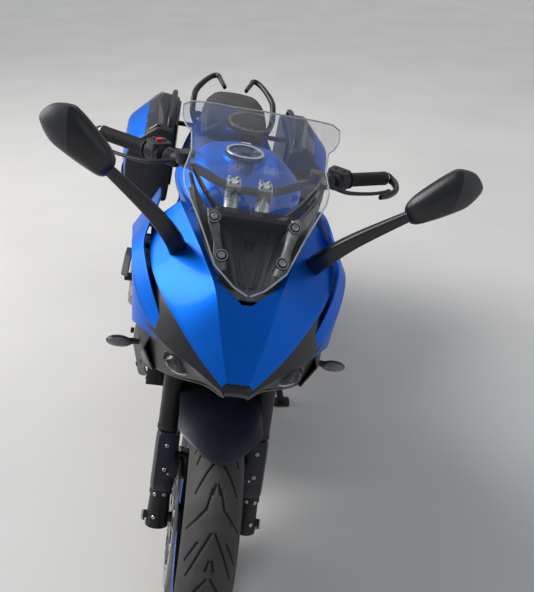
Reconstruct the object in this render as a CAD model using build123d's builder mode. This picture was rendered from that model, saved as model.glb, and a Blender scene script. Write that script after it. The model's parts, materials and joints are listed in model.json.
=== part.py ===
"""Sport touring motorcycle with two side cases, parked on its side stand.

Every piece is drawn with the machine upright: -Y is forward, +X is the rider's left, +Z is up, and the
origin lies on the ground midway between the axles, in millimetres. At the end the whole machine is leaned
onto its side stand and moved so that its origin is the bottom centre of its bounding box.
"""
from build123d import *
import os
from math import atan2, cos, degrees, hypot, radians, sin, sqrt, tan

# Chassis geometry
WHEELBASE = 1460.0
RAKE = 25.0
TRAIL = 100.0
LEAN = 10.5
FIT_GAP = 0.3
PIN_GAP = 0.3
HEAD_GAP = 0.8

# Wheels and tyres
FRONT_RADIUS = 300.0
FRONT_WIDTH = 120.0
REAR_RADIUS = 311.0
REAR_WIDTH = 190.0
RIM_RADIUS = 216.0
FRONT_RIM_HALF = 45.0
REAR_RIM_HALF = 76.0
TYRE_WALL = 9.0
RIM_WALL = 6.0
SPOKES = 6
AXLE_R = 12.0
AXLE_BORE_R = 8.0
FRONT_HUB_R = 34.0
REAR_HUB_R = 48.0

FRONT_Y = -WHEELBASE / 2
REAR_Y = WHEELBASE / 2
FRONT_AXLE = Vector(0, FRONT_Y, FRONT_RADIUS)
REAR_AXLE = Vector(0, REAR_Y, REAR_RADIUS)

# Brakes and drive
FRONT_DISC_R = 155.0
FRONT_DISC_X = 70.0
REAR_DISC_R = 125.0
REAR_DISC_X = -104.0
DISC_THICK = 5.0
CHAIN_X = 112.0
CHAIN_PITCH = 15.875
REAR_TEETH = 44
FRONT_TEETH = 17
DRIVE_Y = 60.0
DRIVE_Z = 400.0
ROLLER_R = 5.0
SHAFT_R = 16.0
PLATE_HALF = 8.0
CHAIN_HALF_WIDTH = 9.0

# Fork and steering
FORK_X = 105.0
FORK_UPPER_R = 27.0
FORK_LOWER_R = 21.5
FORK_LENGTH = 715.0
CLAMP_THICK = 28.0
LOWER_CLAMP_S = 490.0
BAR_R = 11.0
BAR_RISE = 78.0
GRIP_R = 16.5

SIN_R, COS_R = sin(radians(RAKE)), cos(radians(RAKE))
STEER_FOOT = Vector(0, FRONT_Y - TRAIL, 0)
STEER_DIR = Vector(0, SIN_R, COS_R)
AXLE_S = (FRONT_AXLE - STEER_FOOT).dot(STEER_DIR)
FORK_OFFSET = (FRONT_AXLE - STEER_FOOT).dot(Vector(0, COS_R, -SIN_R))
TOP_CLAMP_S = AXLE_S + FORK_LENGTH - CLAMP_THICK - 4


def steer_plane(s):
    """Plane square to the steering axis, s along it from the ground; its local y points rearward."""
    return Plane(origin=STEER_FOOT + STEER_DIR * s, x_dir=(1, 0, 0), z_dir=STEER_DIR)


def across(x):
    """Side-view plane at x: local x is the machine's Y, local y is its Z, extruding toward +X."""
    return Plane(origin=(x, 0, 0), x_dir=(0, 1, 0), z_dir=(1, 0, 0))


def station(y):
    """Front-view plane at y: local x is the machine's X, local y is its Z."""
    return Plane(origin=(0, y, 0), x_dir=(1, 0, 0), z_dir=(0, -1, 0))


def tyre_section(radius, width, rim_half):
    """Half of a tyre's cross-section outline, drawn radially above the axle and mirrored by the caller."""
    half = width / 2
    bead = RIM_RADIUS + 2
    bulge = bead + (radius - bead) * 0.42
    inner_top = radius - TYRE_WALL
    with BuildLine() as outline:
        crown = ThreePointArc((-half, bulge), (0, radius), (half, bulge))
        right = Line((half, bulge), (rim_half - 2, bead))
        right_in = Line((rim_half - 2, bead), (rim_half - 2 - TYRE_WALL, bead))
        side_in = Line((rim_half - 2 - TYRE_WALL, bead), (half - TYRE_WALL, bulge))
        liner = ThreePointArc((half - TYRE_WALL, bulge), (0, inner_top), (-half + TYRE_WALL, bulge))
        Line((-half + TYRE_WALL, bulge), (-rim_half + 2 + TYRE_WALL, bead))
        Line((-rim_half + 2 + TYRE_WALL, bead), (-rim_half + 2, bead))
        Line((-rim_half + 2, bead), (-half, bulge))
    return outline.line


def wheel_plane(axle, angle=0.0):
    """Plane through an axle holding its axis: local x is the machine's X, local y the radius."""
    turned = radians(angle)
    return Plane(origin=axle, x_dir=(1, 0, 0), z_dir=(0, -cos(turned), sin(turned)))


def spin_axis(axle):
    """The axle's line as an axis along +X."""
    return Axis(axle, (1, 0, 0))


# Tyres: a hollow carcass with a round crown, revolved about the axle
with BuildPart() as front_tyre:
    with BuildSketch(wheel_plane(FRONT_AXLE)):
        with BuildLine():
            add(tyre_section(FRONT_RADIUS, FRONT_WIDTH, FRONT_RIM_HALF))
        make_face()
    revolve(axis=spin_axis(FRONT_AXLE))

with BuildPart() as rear_tyre:
    with BuildSketch(wheel_plane(REAR_AXLE)):
        with BuildLine():
            add(tyre_section(REAR_RADIUS, REAR_WIDTH, REAR_RIM_HALF))
        make_face()
    revolve(axis=spin_axis(REAR_AXLE))


def cast_rim(axle, rim_half, hub_r, hub_half, spoke_half):
    """A cast wheel: dropped-centre rim, hub with a bore for the axle, and twin-blade spokes."""
    lip = RIM_RADIUS + 1.5
    bed = RIM_RADIUS - 20
    with BuildPart() as rim:
        with BuildSketch(wheel_plane(axle)):
            with BuildLine():
                Polyline(
                    (-rim_half, lip), (-rim_half + RIM_WALL, lip), (-rim_half + RIM_WALL + 4, bed + RIM_WALL),
                    (rim_half - RIM_WALL - 4, bed + RIM_WALL), (rim_half - RIM_WALL, lip), (rim_half, lip),
                    (rim_half - 2, bed), (-rim_half + 2, bed), close=True,
                )
            make_face()
        revolve(axis=spin_axis(axle))
        with BuildSketch(Plane(origin=axle - Vector(hub_half, 0, 0), x_dir=(0, 1, 0), z_dir=(1, 0, 0))):
            Circle(hub_r)
        extrude(amount=2 * hub_half)
        for turn in range(SPOKES):
            base = 360 / SPOKES * turn
            for lean_out in (-9, 9):
                a = radians(base + lean_out)
                b = radians(base + lean_out * 0.25)
                tip = Vector(sin(a), cos(a)) * (bed + 3)
                root = Vector(sin(b), cos(b)) * (hub_r - 6)
                side = Vector(cos(b), -sin(b))
                spoke_start = axle - Vector(spoke_half, 0, 0)
                with BuildSketch(Plane(origin=spoke_start, x_dir=(0, 1, 0), z_dir=(1, 0, 0))):
                    with BuildLine():
                        Polyline(
                            root - side * 11, tip - side * 7, tip + side * 7, root + side * 11, close=True,
                        )
                    make_face()
                extrude(amount=2 * spoke_half)
        with BuildSketch(Plane(origin=axle - Vector(hub_half + 1, 0, 0), x_dir=(0, 1, 0), z_dir=(1, 0, 0))):
            Circle(AXLE_R + PIN_GAP)
        extrude(amount=2 * hub_half + 2, mode=Mode.SUBTRACT)
    return rim


FRONT_HUB_HALF = 58.0
REAR_HUB_HALF = 96.0
front_rim = cast_rim(FRONT_AXLE, FRONT_RIM_HALF, FRONT_HUB_R, FRONT_HUB_HALF, 11)
rear_rim = cast_rim(REAR_AXLE, REAR_RIM_HALF, REAR_HUB_R, REAR_HUB_HALF, 15)


def disc_plane(axle, x):
    """Side-view plane on an axle's line at x."""
    return Plane(origin=Vector(x, axle.Y, axle.Z), x_dir=(0, 1, 0), z_dir=(1, 0, 0))


# Front discs: braking band, carrier arms and a hub ring seated on the hub's ends
with BuildPart() as front_discs:
    for side in (-1, 1):
        inner_face = side * FRONT_DISC_X - DISC_THICK / 2
        with BuildSketch(disc_plane(FRONT_AXLE, inner_face)):
            Circle(FRONT_DISC_R)
            Circle(FRONT_DISC_R - 36, mode=Mode.SUBTRACT)
            with PolarLocations(68, 10):
                Rectangle(112, 9)
            Circle(FRONT_HUB_R + 12)
            Circle(FRONT_HUB_R - 8, mode=Mode.SUBTRACT)
            with PolarLocations(FRONT_DISC_R - 18, 20):
                Circle(4, mode=Mode.SUBTRACT)
        extrude(amount=DISC_THICK)
        seat_face = min(side * (FRONT_HUB_HALF), side * (FRONT_DISC_X))
        with BuildSketch(disc_plane(FRONT_AXLE, seat_face)):
            Circle(FRONT_HUB_R + 6)
            Circle(FRONT_HUB_R - 8, mode=Mode.SUBTRACT)
        extrude(amount=FRONT_DISC_X - FRONT_HUB_HALF)

with BuildPart() as rear_disc:
    with BuildSketch(disc_plane(REAR_AXLE, REAR_DISC_X - DISC_THICK / 2)):
        Circle(REAR_DISC_R)
        Circle(REAR_DISC_R - 32, mode=Mode.SUBTRACT)
        with PolarLocations(70, 6):
            Rectangle(56, 12)
        Circle(REAR_HUB_R + 8)
        Circle(REAR_HUB_R - 12, mode=Mode.SUBTRACT)
    extrude(amount=DISC_THICK)
    with BuildSketch(disc_plane(REAR_AXLE, REAR_DISC_X)):
        Circle(REAR_HUB_R)
        Circle(REAR_HUB_R - 12, mode=Mode.SUBTRACT)
    extrude(amount=-REAR_DISC_X - REAR_HUB_HALF)

REAR_PITCH_R = CHAIN_PITCH / 2 / sin(radians(180 / REAR_TEETH))
FRONT_PITCH_R = CHAIN_PITCH / 2 / sin(radians(180 / FRONT_TEETH))
TOOTH_TIP_R = REAR_PITCH_R - ROLLER_R - 1.2

# Rear sprocket: plain toothed band just inside the chain's rollers, on five arms
with BuildPart() as sprocket:
    with BuildSketch(disc_plane(REAR_AXLE, CHAIN_X - 3)):
        Circle(TOOTH_TIP_R)
        with PolarLocations(TOOTH_TIP_R, REAR_TEETH):
            Circle(2.6, mode=Mode.SUBTRACT)
        Circle(TOOTH_TIP_R - 20, mode=Mode.SUBTRACT)
        with PolarLocations(66, 5):
            Rectangle(60, 22)
        Circle(REAR_HUB_R + 6)
        Circle(REAR_HUB_R - 12, mode=Mode.SUBTRACT)
    extrude(amount=6)
    with BuildSketch(disc_plane(REAR_AXLE, REAR_HUB_HALF)):
        Circle(REAR_HUB_R + 2)
        Circle(REAR_HUB_R - 12, mode=Mode.SUBTRACT)
    extrude(amount=CHAIN_X - 3 - REAR_HUB_HALF)


def chain_loop():
    """Roller centres round both sprockets, one pitch apart, as points of the side view."""
    dy, dz = REAR_Y - DRIVE_Y, REAR_RADIUS - DRIVE_Z
    span = hypot(dy, dz)
    slope = atan2(dz, dy)
    wrap = atan2(REAR_PITCH_R - FRONT_PITCH_R, span)
    top, bottom = slope + radians(90) + wrap, slope - radians(90) - wrap
    drive, driven = Vector(DRIVE_Y, DRIVE_Z), Vector(REAR_Y, REAR_RADIUS)
    a = drive + Vector(cos(top), sin(top)) * FRONT_PITCH_R
    b = driven + Vector(cos(top), sin(top)) * REAR_PITCH_R
    c = driven + Vector(cos(bottom), sin(bottom)) * REAR_PITCH_R
    d = drive + Vector(cos(bottom), sin(bottom)) * FRONT_PITCH_R
    back = driven + Vector(cos(slope), sin(slope)) * REAR_PITCH_R
    front = drive - Vector(cos(slope), sin(slope)) * FRONT_PITCH_R
    with BuildLine() as loop:
        Line(a, b)
        ThreePointArc(b, back, c)
        Line(c, d)
        ThreePointArc(d, front, a)
    return loop.wire()


CHAIN_WIRE = chain_loop()
ROLLERS = round(CHAIN_WIRE.length / CHAIN_PITCH / 2) * 2

# Drive chain: two side bands joined by rollers, one fixed loop, and the front sprocket it wraps
with BuildPart() as drive_chain:
    rollers = [CHAIN_WIRE.position_at(i / ROLLERS) for i in range(ROLLERS)]
    for side in (-1, 1):
        inner = CHAIN_X + (5.5 if side > 0 else -CHAIN_HALF_WIDTH)
        with BuildSketch(across(inner)):
            make_face(offset(CHAIN_WIRE, PLATE_HALF, mode=Mode.PRIVATE).edges())
            make_face(offset(CHAIN_WIRE, -PLATE_HALF, mode=Mode.PRIVATE).edges(), mode=Mode.SUBTRACT)
        extrude(amount=CHAIN_HALF_WIDTH - 5.5)
    with BuildSketch(across(CHAIN_X - CHAIN_HALF_WIDTH)):
        with Locations(*[(p.X, p.Y) for p in rollers[::2]]):
            RegularPolygon(ROLLER_R, 6)
    extrude(amount=2 * CHAIN_HALF_WIDTH)
    with BuildSketch(across(CHAIN_X - 3)):
        with Locations((DRIVE_Y, DRIVE_Z)):
            Circle(FRONT_PITCH_R)
            Circle(SHAFT_R, mode=Mode.SUBTRACT)
    extrude(amount=6)

# Fork: two upside-down legs, axle feet, the axle, two clamps and the stem that turns in the head
FOOT_R = 27.0
FOOT_DROP = 20.0
STEM_R = 15.0
with BuildPart() as fork:
    with BuildSketch(steer_plane(AXLE_S + 60)):
        with Locations((-FORK_X, FORK_OFFSET), (FORK_X, FORK_OFFSET)):
            Circle(FORK_LOWER_R)
    extrude(amount=220)
    with BuildSketch(steer_plane(AXLE_S + 225)):
        with Locations((-FORK_X, FORK_OFFSET), (FORK_X, FORK_OFFSET)):
            Circle(FORK_UPPER_R)
    extrude(amount=FORK_LENGTH - 225)
    with BuildSketch(steer_plane(AXLE_S - FOOT_DROP)):
        with Locations((-FORK_X, FORK_OFFSET), (FORK_X, FORK_OFFSET)):
            Circle(FOOT_R)
    extrude(amount=FOOT_DROP + 90, taper=2)
    with BuildSketch(disc_plane(FRONT_AXLE, -FORK_X - 34)):
        Circle(AXLE_R)
    extrude(amount=2 * FORK_X + 68)
    for s in (LOWER_CLAMP_S + AXLE_S, TOP_CLAMP_S):
        with BuildSketch(steer_plane(s)):
            with Locations((-FORK_X, FORK_OFFSET), (FORK_X, FORK_OFFSET)):
                Circle(FORK_UPPER_R + 12)
            with BuildLine():
                Polyline(
                    (-FORK_X, FORK_OFFSET - 24), (FORK_X, FORK_OFFSET - 24), (FORK_X - 14, FORK_OFFSET + 32),
                    (34, 34), (-34, 34), (-FORK_X + 14, FORK_OFFSET + 32), close=True,
                )
            make_face()
        extrude(amount=CLAMP_THICK)
    with BuildSketch(steer_plane(AXLE_S + LOWER_CLAMP_S)):
        Circle(STEM_R)
    extrude(amount=TOP_CLAMP_S - LOWER_CLAMP_S - AXLE_S)
    with BuildSketch(disc_plane(FRONT_AXLE, -FORK_X - 35)):
        Circle(AXLE_BORE_R)
    extrude(amount=2 * FORK_X + 70, mode=Mode.SUBTRACT)

# Front brake calipers, bolted radially to the fork feet over the discs
CALIPER_REACH = 128.0
with BuildPart() as front_calipers:
    for side in (-1, 1):
        low_x = side * FRONT_DISC_X - 24
        angle = radians(52)
        centre = Vector(cos(angle), sin(angle)) * CALIPER_REACH
        with BuildSketch(disc_plane(FRONT_AXLE, low_x)):
            with Locations(Location((centre.X, centre.Y), 90 + 52)):
                RectangleRounded(128, 62, 14)
        extrude(amount=48)
        with BuildSketch(disc_plane(FRONT_AXLE, side * FRONT_DISC_X - DISC_THICK / 2 - 3)):
            Circle(FRONT_DISC_R + 4)
        extrude(amount=DISC_THICK + 6, mode=Mode.SUBTRACT)


def rod(points, radius):
    """Straight round bars from point to point, with a ball at each bend."""
    with BuildPart() as bar:
        for start, end in zip(points, points[1:]):
            run = Vector(end) - Vector(start)
            with BuildSketch(Plane(origin=Vector(start), z_dir=run)):
                Circle(radius)
            extrude(amount=run.length)
        for bend in points[1:-1]:
            with Locations(bend):
                Sphere(radius)
    return bar.part


def pair(points, radius):
    """The same bar on both sides of the machine."""
    return [rod([(side * x, y, z) for x, y, z in points], radius) for side in (-1, 1)]


def block(low, high):
    """A box between two corners."""
    with BuildPart() as box:
        with Locations(tuple((a + b) / 2 for a, b in zip(low, high))):
            Box(*[b - a for a, b in zip(low, high)])
    return box.part


def profile(x_low, x_high, points):
    """A side-view outline of (y, z) points, extruded across from x_low to x_high."""
    with BuildPart() as plate:
        with BuildSketch(across(x_low)):
            with BuildLine():
                Polyline(*points, close=True)
            make_face()
        extrude(amount=x_high - x_low)
    return plate.part


def thin(points, wall):
    """Close an open front-view outline into a wall, thickened toward the right of its direction."""
    inner = []
    last = len(points) - 1
    for i, (x, z) in enumerate(points):
        ahead, behind = points[min(i + 1, last)], points[max(i - 1, 0)]
        dx, dz = ahead[0] - behind[0], ahead[1] - behind[1]
        inner.append((x + dz / hypot(dx, dz) * wall, z - dx / hypot(dx, dz) * wall))
    return list(points) + inner[::-1]


def hull(sections, ruled=True):
    """A solid through closed front-view sections, each (y, points); smooth along Y unless ruled."""
    with BuildPart() as body:
        for y, points in sections:
            with BuildSketch(station(y)):
                with BuildLine():
                    Polyline(*points, close=True)
                make_face()
        loft(ruled=ruled)
    return body.part


def crowned(sections):
    """A smooth solid through front-view sections with a round top, each (y, low, side, shoulder, top)."""
    with BuildPart() as body:
        for y, low, side, shoulder, top in sections:
            with BuildSketch(station(y)):
                with BuildLine():
                    Polyline((-side[0], side[1]), (-low[0], low[1]), low, side)
                    Line(side, shoulder)
                    ThreePointArc(shoulder, (0, top), (-shoulder[0], shoulder[1]))
                    Line((-shoulder[0], shoulder[1]), (-side[0], side[1]))
                make_face()
        loft()
    return body.part


def spread(points):
    """A right-hand outline, listed from the top downward, completed on both sides of the middle."""
    return [(-x, z) for x, z in reversed(points) if x] + list(points)


def skin(sections, wall):
    """A panel of one wall thickness through open front-view sections, each (y, points)."""
    return hull([(y, thin(points, wall)) for y, points in sections], ruled=False)


PANEL = 4.0

# Frame: head tube, two ruled spars and pivot plates, with hangers for the engine
HEAD_R = 32.0
HEAD_LOW = AXLE_S + LOWER_CLAMP_S + CLAMP_THICK + 2
HEAD_HIGH = TOP_CLAMP_S - 2
PIVOT_Y, PIVOT_Z = 150.0, 405.0
PLATE_IN, PLATE_OUT = 164.0, 188.0
STAND_PIVOT = Vector(206, 60, 300)
STAND_FOOT = Vector(300, 20, 62.2)
FOLDED = Vector(0.06, 0.99, 0.05)
STAND_AXIS = (STAND_FOOT - STAND_PIVOT).cross(FOLDED).normalized()
PIN_R = 7.0
# y, centre x, centre z, width, height
SPAR = (
    (-452, 26, 818, 34, 100),
    (-330, 106, 790, 32, 96),
    (-180, 176, 742, 34, 100),
    (50, 176, 610, 28, 110),
)
with BuildPart() as main_frame:
    for side in (-1, 1):
        for y, x, z, wide, high in SPAR:
            with BuildSketch(station(y)):
                with Locations((side * x, z)):
                    Rectangle(wide, high)
        loft(ruled=True)
        low_x = PLATE_IN if side > 0 else -PLATE_OUT
        outline = (
            (-20, 640), (60, 668), (130, 560), (195, 470), (195, 350), (120, 300), (80, 276), (40, 276), (30, 420),
        )
        add(profile(low_x, low_x + PLATE_OUT - PLATE_IN, outline))
        low_x = 155 if side > 0 else -190
        with BuildSketch(across(low_x)):
            with Locations((-230, 655)):
                Circle(18)
        extrude(amount=35)
        web_x = sorted((side * 162, side * 192))
        add(profile(*web_x, ((-262, 740), (-150, 700), (-214, 645), (-246, 645))))
    with BuildSketch(steer_plane(HEAD_LOW)):
        Circle(HEAD_R)
    extrude(amount=HEAD_HIGH - HEAD_LOW)
    with BuildSketch(steer_plane(HEAD_LOW - 1)):
        Circle(STEM_R + HEAD_GAP)
    extrude(amount=HEAD_HIGH - HEAD_LOW + 2, mode=Mode.SUBTRACT)
    with BuildSketch(Plane(origin=STAND_PIVOT - STAND_AXIS * 24, z_dir=STAND_AXIS)):
        Circle(PIN_R)
    extrude(amount=38)

# Engine: crankcase, gearbox, leaning cylinder block and head, round side covers and sump
with BuildPart() as engine:
    add(block((-178, -255, 300), (178, -5, 492)))
    add(block((-140, -6, 305), (92, 118, 500)))
    add(profile(-155, 155, ((-262, 470), (-120, 492), (-190, 680), (-322, 640))))
    add(profile(-150, 150, ((-322, 640), (-190, 680), (-200, 700), (-318, 668))))
    add(block((-120, -230, 195), (120, -20, 301)))
    for x, y, z, r, depth in ((178, -190, 395, 62, 26), (-204, -60, 400, 72, 26), (-200, -200, 385, 50, 22)):
        with BuildSketch(across(x)):
            with Locations((y, z)):
                Circle(r)
        extrude(amount=depth)
    add(profile(126, 150, ((-5, 330), (20, 330), (112, 345), (112, 470), (-5, 470))))
    add(block((140, -12, 345), (150, -4, 460)))
    add(block((150, -30, 345), (178, -5, 460)))
    with BuildSketch(across(90)):
        with Locations((DRIVE_Y, DRIVE_Z)):
            Circle(SHAFT_R)
    extrude(amount=40)

SWING_IN, SWING_OUT = 128.0, 156.0
with BuildPart() as swingarm:
    for side in (-1, 1):
        low_x = SWING_IN if side > 0 else -SWING_OUT
        outline = (
            (118, 382), (118, 428), (150, 444), (420, 428), (REAR_Y - 30, REAR_RADIUS + 39),
            (REAR_Y + 42, REAR_RADIUS + 25), (REAR_Y + 52, REAR_RADIUS), (REAR_Y + 42, REAR_RADIUS - 25),
            (REAR_Y - 30, REAR_RADIUS - 29), (420, 336), (150, 366),
        )
        add(profile(low_x, low_x + SWING_OUT - SWING_IN, outline))
    add(profile(-SWING_IN, SWING_IN, ((205, 365), (205, 412), (320, 400), (330, 352))))
    with BuildSketch(across(-PLATE_IN + 1)):
        with Locations((PIVOT_Y, PIVOT_Z)):
            Circle(21)
    extrude(amount=2 * PLATE_IN - 2)
    with BuildSketch(disc_plane(REAR_AXLE, -SWING_OUT - 8)):
        Circle(AXLE_R)
    extrude(amount=2 * SWING_OUT + 16)
    with BuildSketch(disc_plane(REAR_AXLE, -SWING_OUT - 9)):
        Circle(AXLE_BORE_R)
    extrude(amount=2 * SWING_OUT + 18, mode=Mode.SUBTRACT)

with BuildPart() as rear_shock:
    add(rod([(0, 232, 440), (0, 180, 610)], 30))
    add(rod([(0, 245, 395), (0, 168, 650)], 9))
    add(rod([(-176, 100, 590), (176, 100, 590)], 10))
    add(rod([(0, 168, 650), (0, 100, 590)], 10))

with BuildPart() as rear_caliper:
    centre = (-0.55 * 108, 0.82 * 108)
    with BuildSketch(disc_plane(REAR_AXLE, REAR_DISC_X - 19)):
        with Locations(Location(centre, 35)):
            RectangleRounded(92, 50, 10)
    extrude(amount=34)
    with BuildSketch(disc_plane(REAR_AXLE, REAR_DISC_X - DISC_THICK / 2 - 3)):
        Circle(REAR_DISC_R + 4)
    extrude(amount=DISC_THICK + 6, mode=Mode.SUBTRACT)
    add(profile(REAR_DISC_X - 24, REAR_DISC_X - 12, ((600, 372), (690, 352.5), (700, 440), (640, 430))))

# Radiator with its frame, and the exhaust from head to silencer
RADIATOR_LEAN = 14.0
with BuildPart() as radiator:
    up = (0, sin(radians(RADIATOR_LEAN)), cos(radians(RADIATOR_LEAN)))
    with BuildSketch(Plane(origin=(0, -428, 455), x_dir=(1, 0, 0), z_dir=up)):
        Rectangle(330, 34)
    extrude(amount=238)
    add(pair([(130, -372, 680), (118, -345, 770)], 8))

HEADER_X = (-105, -38, 38, 105)
with BuildPart() as exhaust:
    for x in HEADER_X:
        bends = [(x, -318, 610), (x, -345, 585), (x * 0.9, -350, 330), (x * 0.6, -290, 172), (x * 0.35, -180, 160)]
        add(rod(bends, 18))
    add(block((-75, -185, 128), (75, 60, 190)))
    add(rod([(-60, 40, 160), (-140, 140, 200), (-232, 250, 262)], 24))
    add(rod([(-232, 250, 262), (-250, 480, 360)], 52))
    add(rod([(-249, 470, 356), (-252, 505, 371)], 42))

# Fuel tank and cap
# y, then (x, z) of the bottom edge, the side and the shoulder, and z of the top's middle
TANK = (
    (-312, (52, 876), (70, 890), (44, 904), 910),
    (-262, (85, 860), (128, 900), (86, 948), 966),
    (-160, (138, 846), (164, 918), (104, 984), 1000),
    (-60, (150, 830), (170, 910), (100, 984), 1000),
    (50, (132, 802), (152, 874), (78, 944), 962),
    (150, (80, 780), (97, 808), (56, 842), 852),
)
CAP = Vector(0, -147, 1004)
CAP_R = 52.0
CAP_HEIGHT = 12.0
CAP_SEAT = 4.0
CAP_HINGE = (CAP.Y - CAP_R - 10, CAP.Z + 6)
CAP_BARREL_R = 5.0
CAP_BARREL_HALF = 14.0
CAP_LUG = 6.0
with BuildPart() as fuel_tank:
    add(crowned(TANK))
    with BuildSketch(Plane.XY.offset(CAP.Z)):
        with Locations((0, CAP.Y)):
            Circle(CAP_R + CAP_SEAT)
    extrude(amount=-40)
    for side in (-1, 1):
        ends = sorted((side * (CAP_BARREL_HALF + FIT_GAP), side * (CAP_BARREL_HALF + FIT_GAP + CAP_LUG)))
        low_y, high_y = CAP_HINGE[0] - CAP_BARREL_R, CAP_HINGE[0] + CAP_BARREL_R
        add(block((ends[0], low_y, CAP.Z - 40), (ends[1], high_y, CAP_HINGE[1] + CAP_BARREL_R - 1)))
    with BuildSketch(Plane.XY.offset(CAP.Z)):
        with Locations((0, CAP.Y)):
            Circle(CAP_R + CAP_SEAT)
    extrude(amount=40, mode=Mode.SUBTRACT)
with BuildPart() as fuel_cap:
    with BuildSketch(Plane(origin=CAP + Vector(0, 0, FIT_GAP))):
        Circle(CAP_R)
    extrude(amount=CAP_HEIGHT)
    add(rod([(-CAP_BARREL_HALF, *CAP_HINGE), (CAP_BARREL_HALF, *CAP_HINGE)], CAP_BARREL_R))
    add(block((-10, CAP_HINGE[0], CAP.Z + 2), (10, CAP.Y - CAP_R + 6, CAP.Z + 9)))

# Seats, in the tank's columns
RIDER = (
    (96, (66, 786), (74, 800), (58, 816), 822),
    (180, (116, 784), (128, 798), (104, 816), 823),
    (320, (152, 784), (160, 800), (130, 817), 824),
    (428, (144, 790), (152, 816), (120, 838), 842),
)
PILLION = (
    (428.3, (104, 842), (114, 852), (92, 866), 872),
    (500, (122, 852), (130, 884), (104, 908), 912),
    (620, (116, 862), (124, 912), (94, 940), 948),
    (700, (78, 872), (86, 902), (64, 922), 926),
)
with BuildPart() as rider_seat:
    add(crowned(RIDER))
with BuildPart() as pillion_seat:
    add(crowned(PILLION))

# Tail: cowl sides under the seats, its rear end, the tubes inside and the hooks for hands
with BuildPart() as tail_frame:
    add(pair([(168, 40, 655), (120, 330, 735), (84, 700, 812)], 13))
    add(pair([(172, 120, 560), (118, 430, 735)], 11))
    for y, z in ((330, 735), (560, 780), (700, 812)):
        wide = 120 - (y - 330) * 0.0973
        add(rod([(-wide, y, z), (wide, y, z)], 10))
with BuildPart() as tail_cowl:
    for side in (-1, 1):
        rows = (
            (110, ((118, 778), (156, 760), (150, 720))),
            (330, ((160, 778), (174, 745), (150, 700))),
            (470, ((134, 830), (160, 790), (135, 730))),
            (700, ((96, 866), (112, 830), (96, 780))),
            (800, ((60, 880), (72, 850), (60, 815))),
        )
        add(skin([(y, [(side * x, z) for x, z in points[::side]]) for y, points in rows], PANEL))
    add(profile(-60, 60, ((706, 866), (812, 878), (838, 850), (812, 815), (760, 815))))
GRAB_HOOK = ((97, 565, 778), (144, 600, 862), (140, 690, 922), (84, 780, 958), (58, 745, 958), (40, 690, 946))
GRAB_R = 10.0
with BuildPart() as grab_rails:
    add(pair(GRAB_HOOK, GRAB_R))
with BuildPart() as tail_lamp:
    add(profile(-55, 55, ((838, 850), (814, 877), (828, 880), (858, 852), (832, 822), (818, 822))))
PLATE_BOLT_PCD = 140.0
PLATE_BOLT_R = 3.2
PLATE_CENTRE = Vector(0, 1072, 600)
PLATE_NORMAL = Vector(0, 0.86, 0.51)
with BuildPart() as plate_holder:
    outline = (
        (760, 814.7), (812, 814.7), (1100, 672), (1106, 650), (1040, 560), (1030, 566), (1062, 640), (1058, 655),
    )
    add(profile(-26, 26, outline))
    with BuildSketch(Plane(origin=PLATE_CENTRE, x_dir=(1, 0, 0), z_dir=PLATE_NORMAL)):
        Rectangle(170, 110)
        with Locations((-PLATE_BOLT_PCD / 2, 0), (PLATE_BOLT_PCD / 2, 0)):
            Circle(PLATE_BOLT_R, mode=Mode.SUBTRACT)
    extrude(amount=5)

# Fairing sections: y, then z on the middle line and (x, z) of the crease, shoulder, lamp side and lamp foot
FAIRING = (
    (-850, 818, (22, 814), (30, 808), (26, 794), (22, 784)),
    (-800, 884, (44, 862), (80, 836), (86, 808), (60, 772)),
    (-740, 953, (66, 918), (126, 864), (146, 812), (116, 735)),
    (-660, 965, (90, 945), (172, 893), (196, 820), (172, 690)),
    (-570, 975, (118, 965), (197, 909), (212, 830), (192, 650)),
    (-450, 990, (150, 985), (205, 930), (215, 840), (200, 640)),
)
# y, then (x, z) of the wing's top edge, outer bend and bottom edge
WING = (
    (-728, (141, 822), (152, 815), (151, 802)),
    (-660, (180, 874), (198, 838), (200, 790)),
    (-600, (203, 908), (224, 866), (218, 760)),
    (-530, (214, 930), (238, 896), (220, 716)),
    (-430, (196, 972), (246, 880), (224, 640)),
    (-300, (200, 945), (254, 840), (228, 560)),
    (-180, (205, 890), (232, 800), (226, 600)),
)
LOWER = (
    (-690, (174, 790), (186, 758), (160, 700)),
    (-600, (207, 800), (207, 735), (176, 640)),
    (-500, (209, 725), (211, 640), (184, 550)),
    (-400, (212, 650), (212, 540), (176, 450)),
    (-250, (219, 600), (228, 455), (206, 345)),
    (-70, (222, 600), (226, 455), (212, 345)),
)
# The hole above the inner cowl, as (x, y) down one side
OPENING = ((10, -752), (56, -724), (82, -660), (110, -570), (140, -452), (140, -440))
OPENING_LOOP = OPENING + tuple((-x, y) for x, y in reversed(OPENING))
with BuildPart() as nose_cowl:
    rows = [(y, spread([(0, top), crease, shoulder])) for y, top, crease, shoulder, side, foot in FAIRING]
    add(skin(rows, PANEL))
    with BuildSketch(Plane.XY.offset(900)):
        with BuildLine():
            Polyline(*OPENING_LOOP, close=True)
        make_face()
    extrude(amount=150, mode=Mode.SUBTRACT)

with BuildPart() as lamp_cowl:
    rows = [(y, [(0, top - 10), (crease[0] - 4, crease[1] - 10), (shoulder[0] - 9, shoulder[1] - 9), side, foot])
            for y, top, crease, shoulder, side, foot in FAIRING[:5]]
    add(skin([(y, spread(points)) for y, points in rows], PANEL))
    with BuildSketch(Plane.XY.offset(880)):
        with BuildLine():
            Polyline(*OPENING_LOOP, close=True)
        make_face()
    extrude(amount=150, mode=Mode.SUBTRACT)
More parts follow.
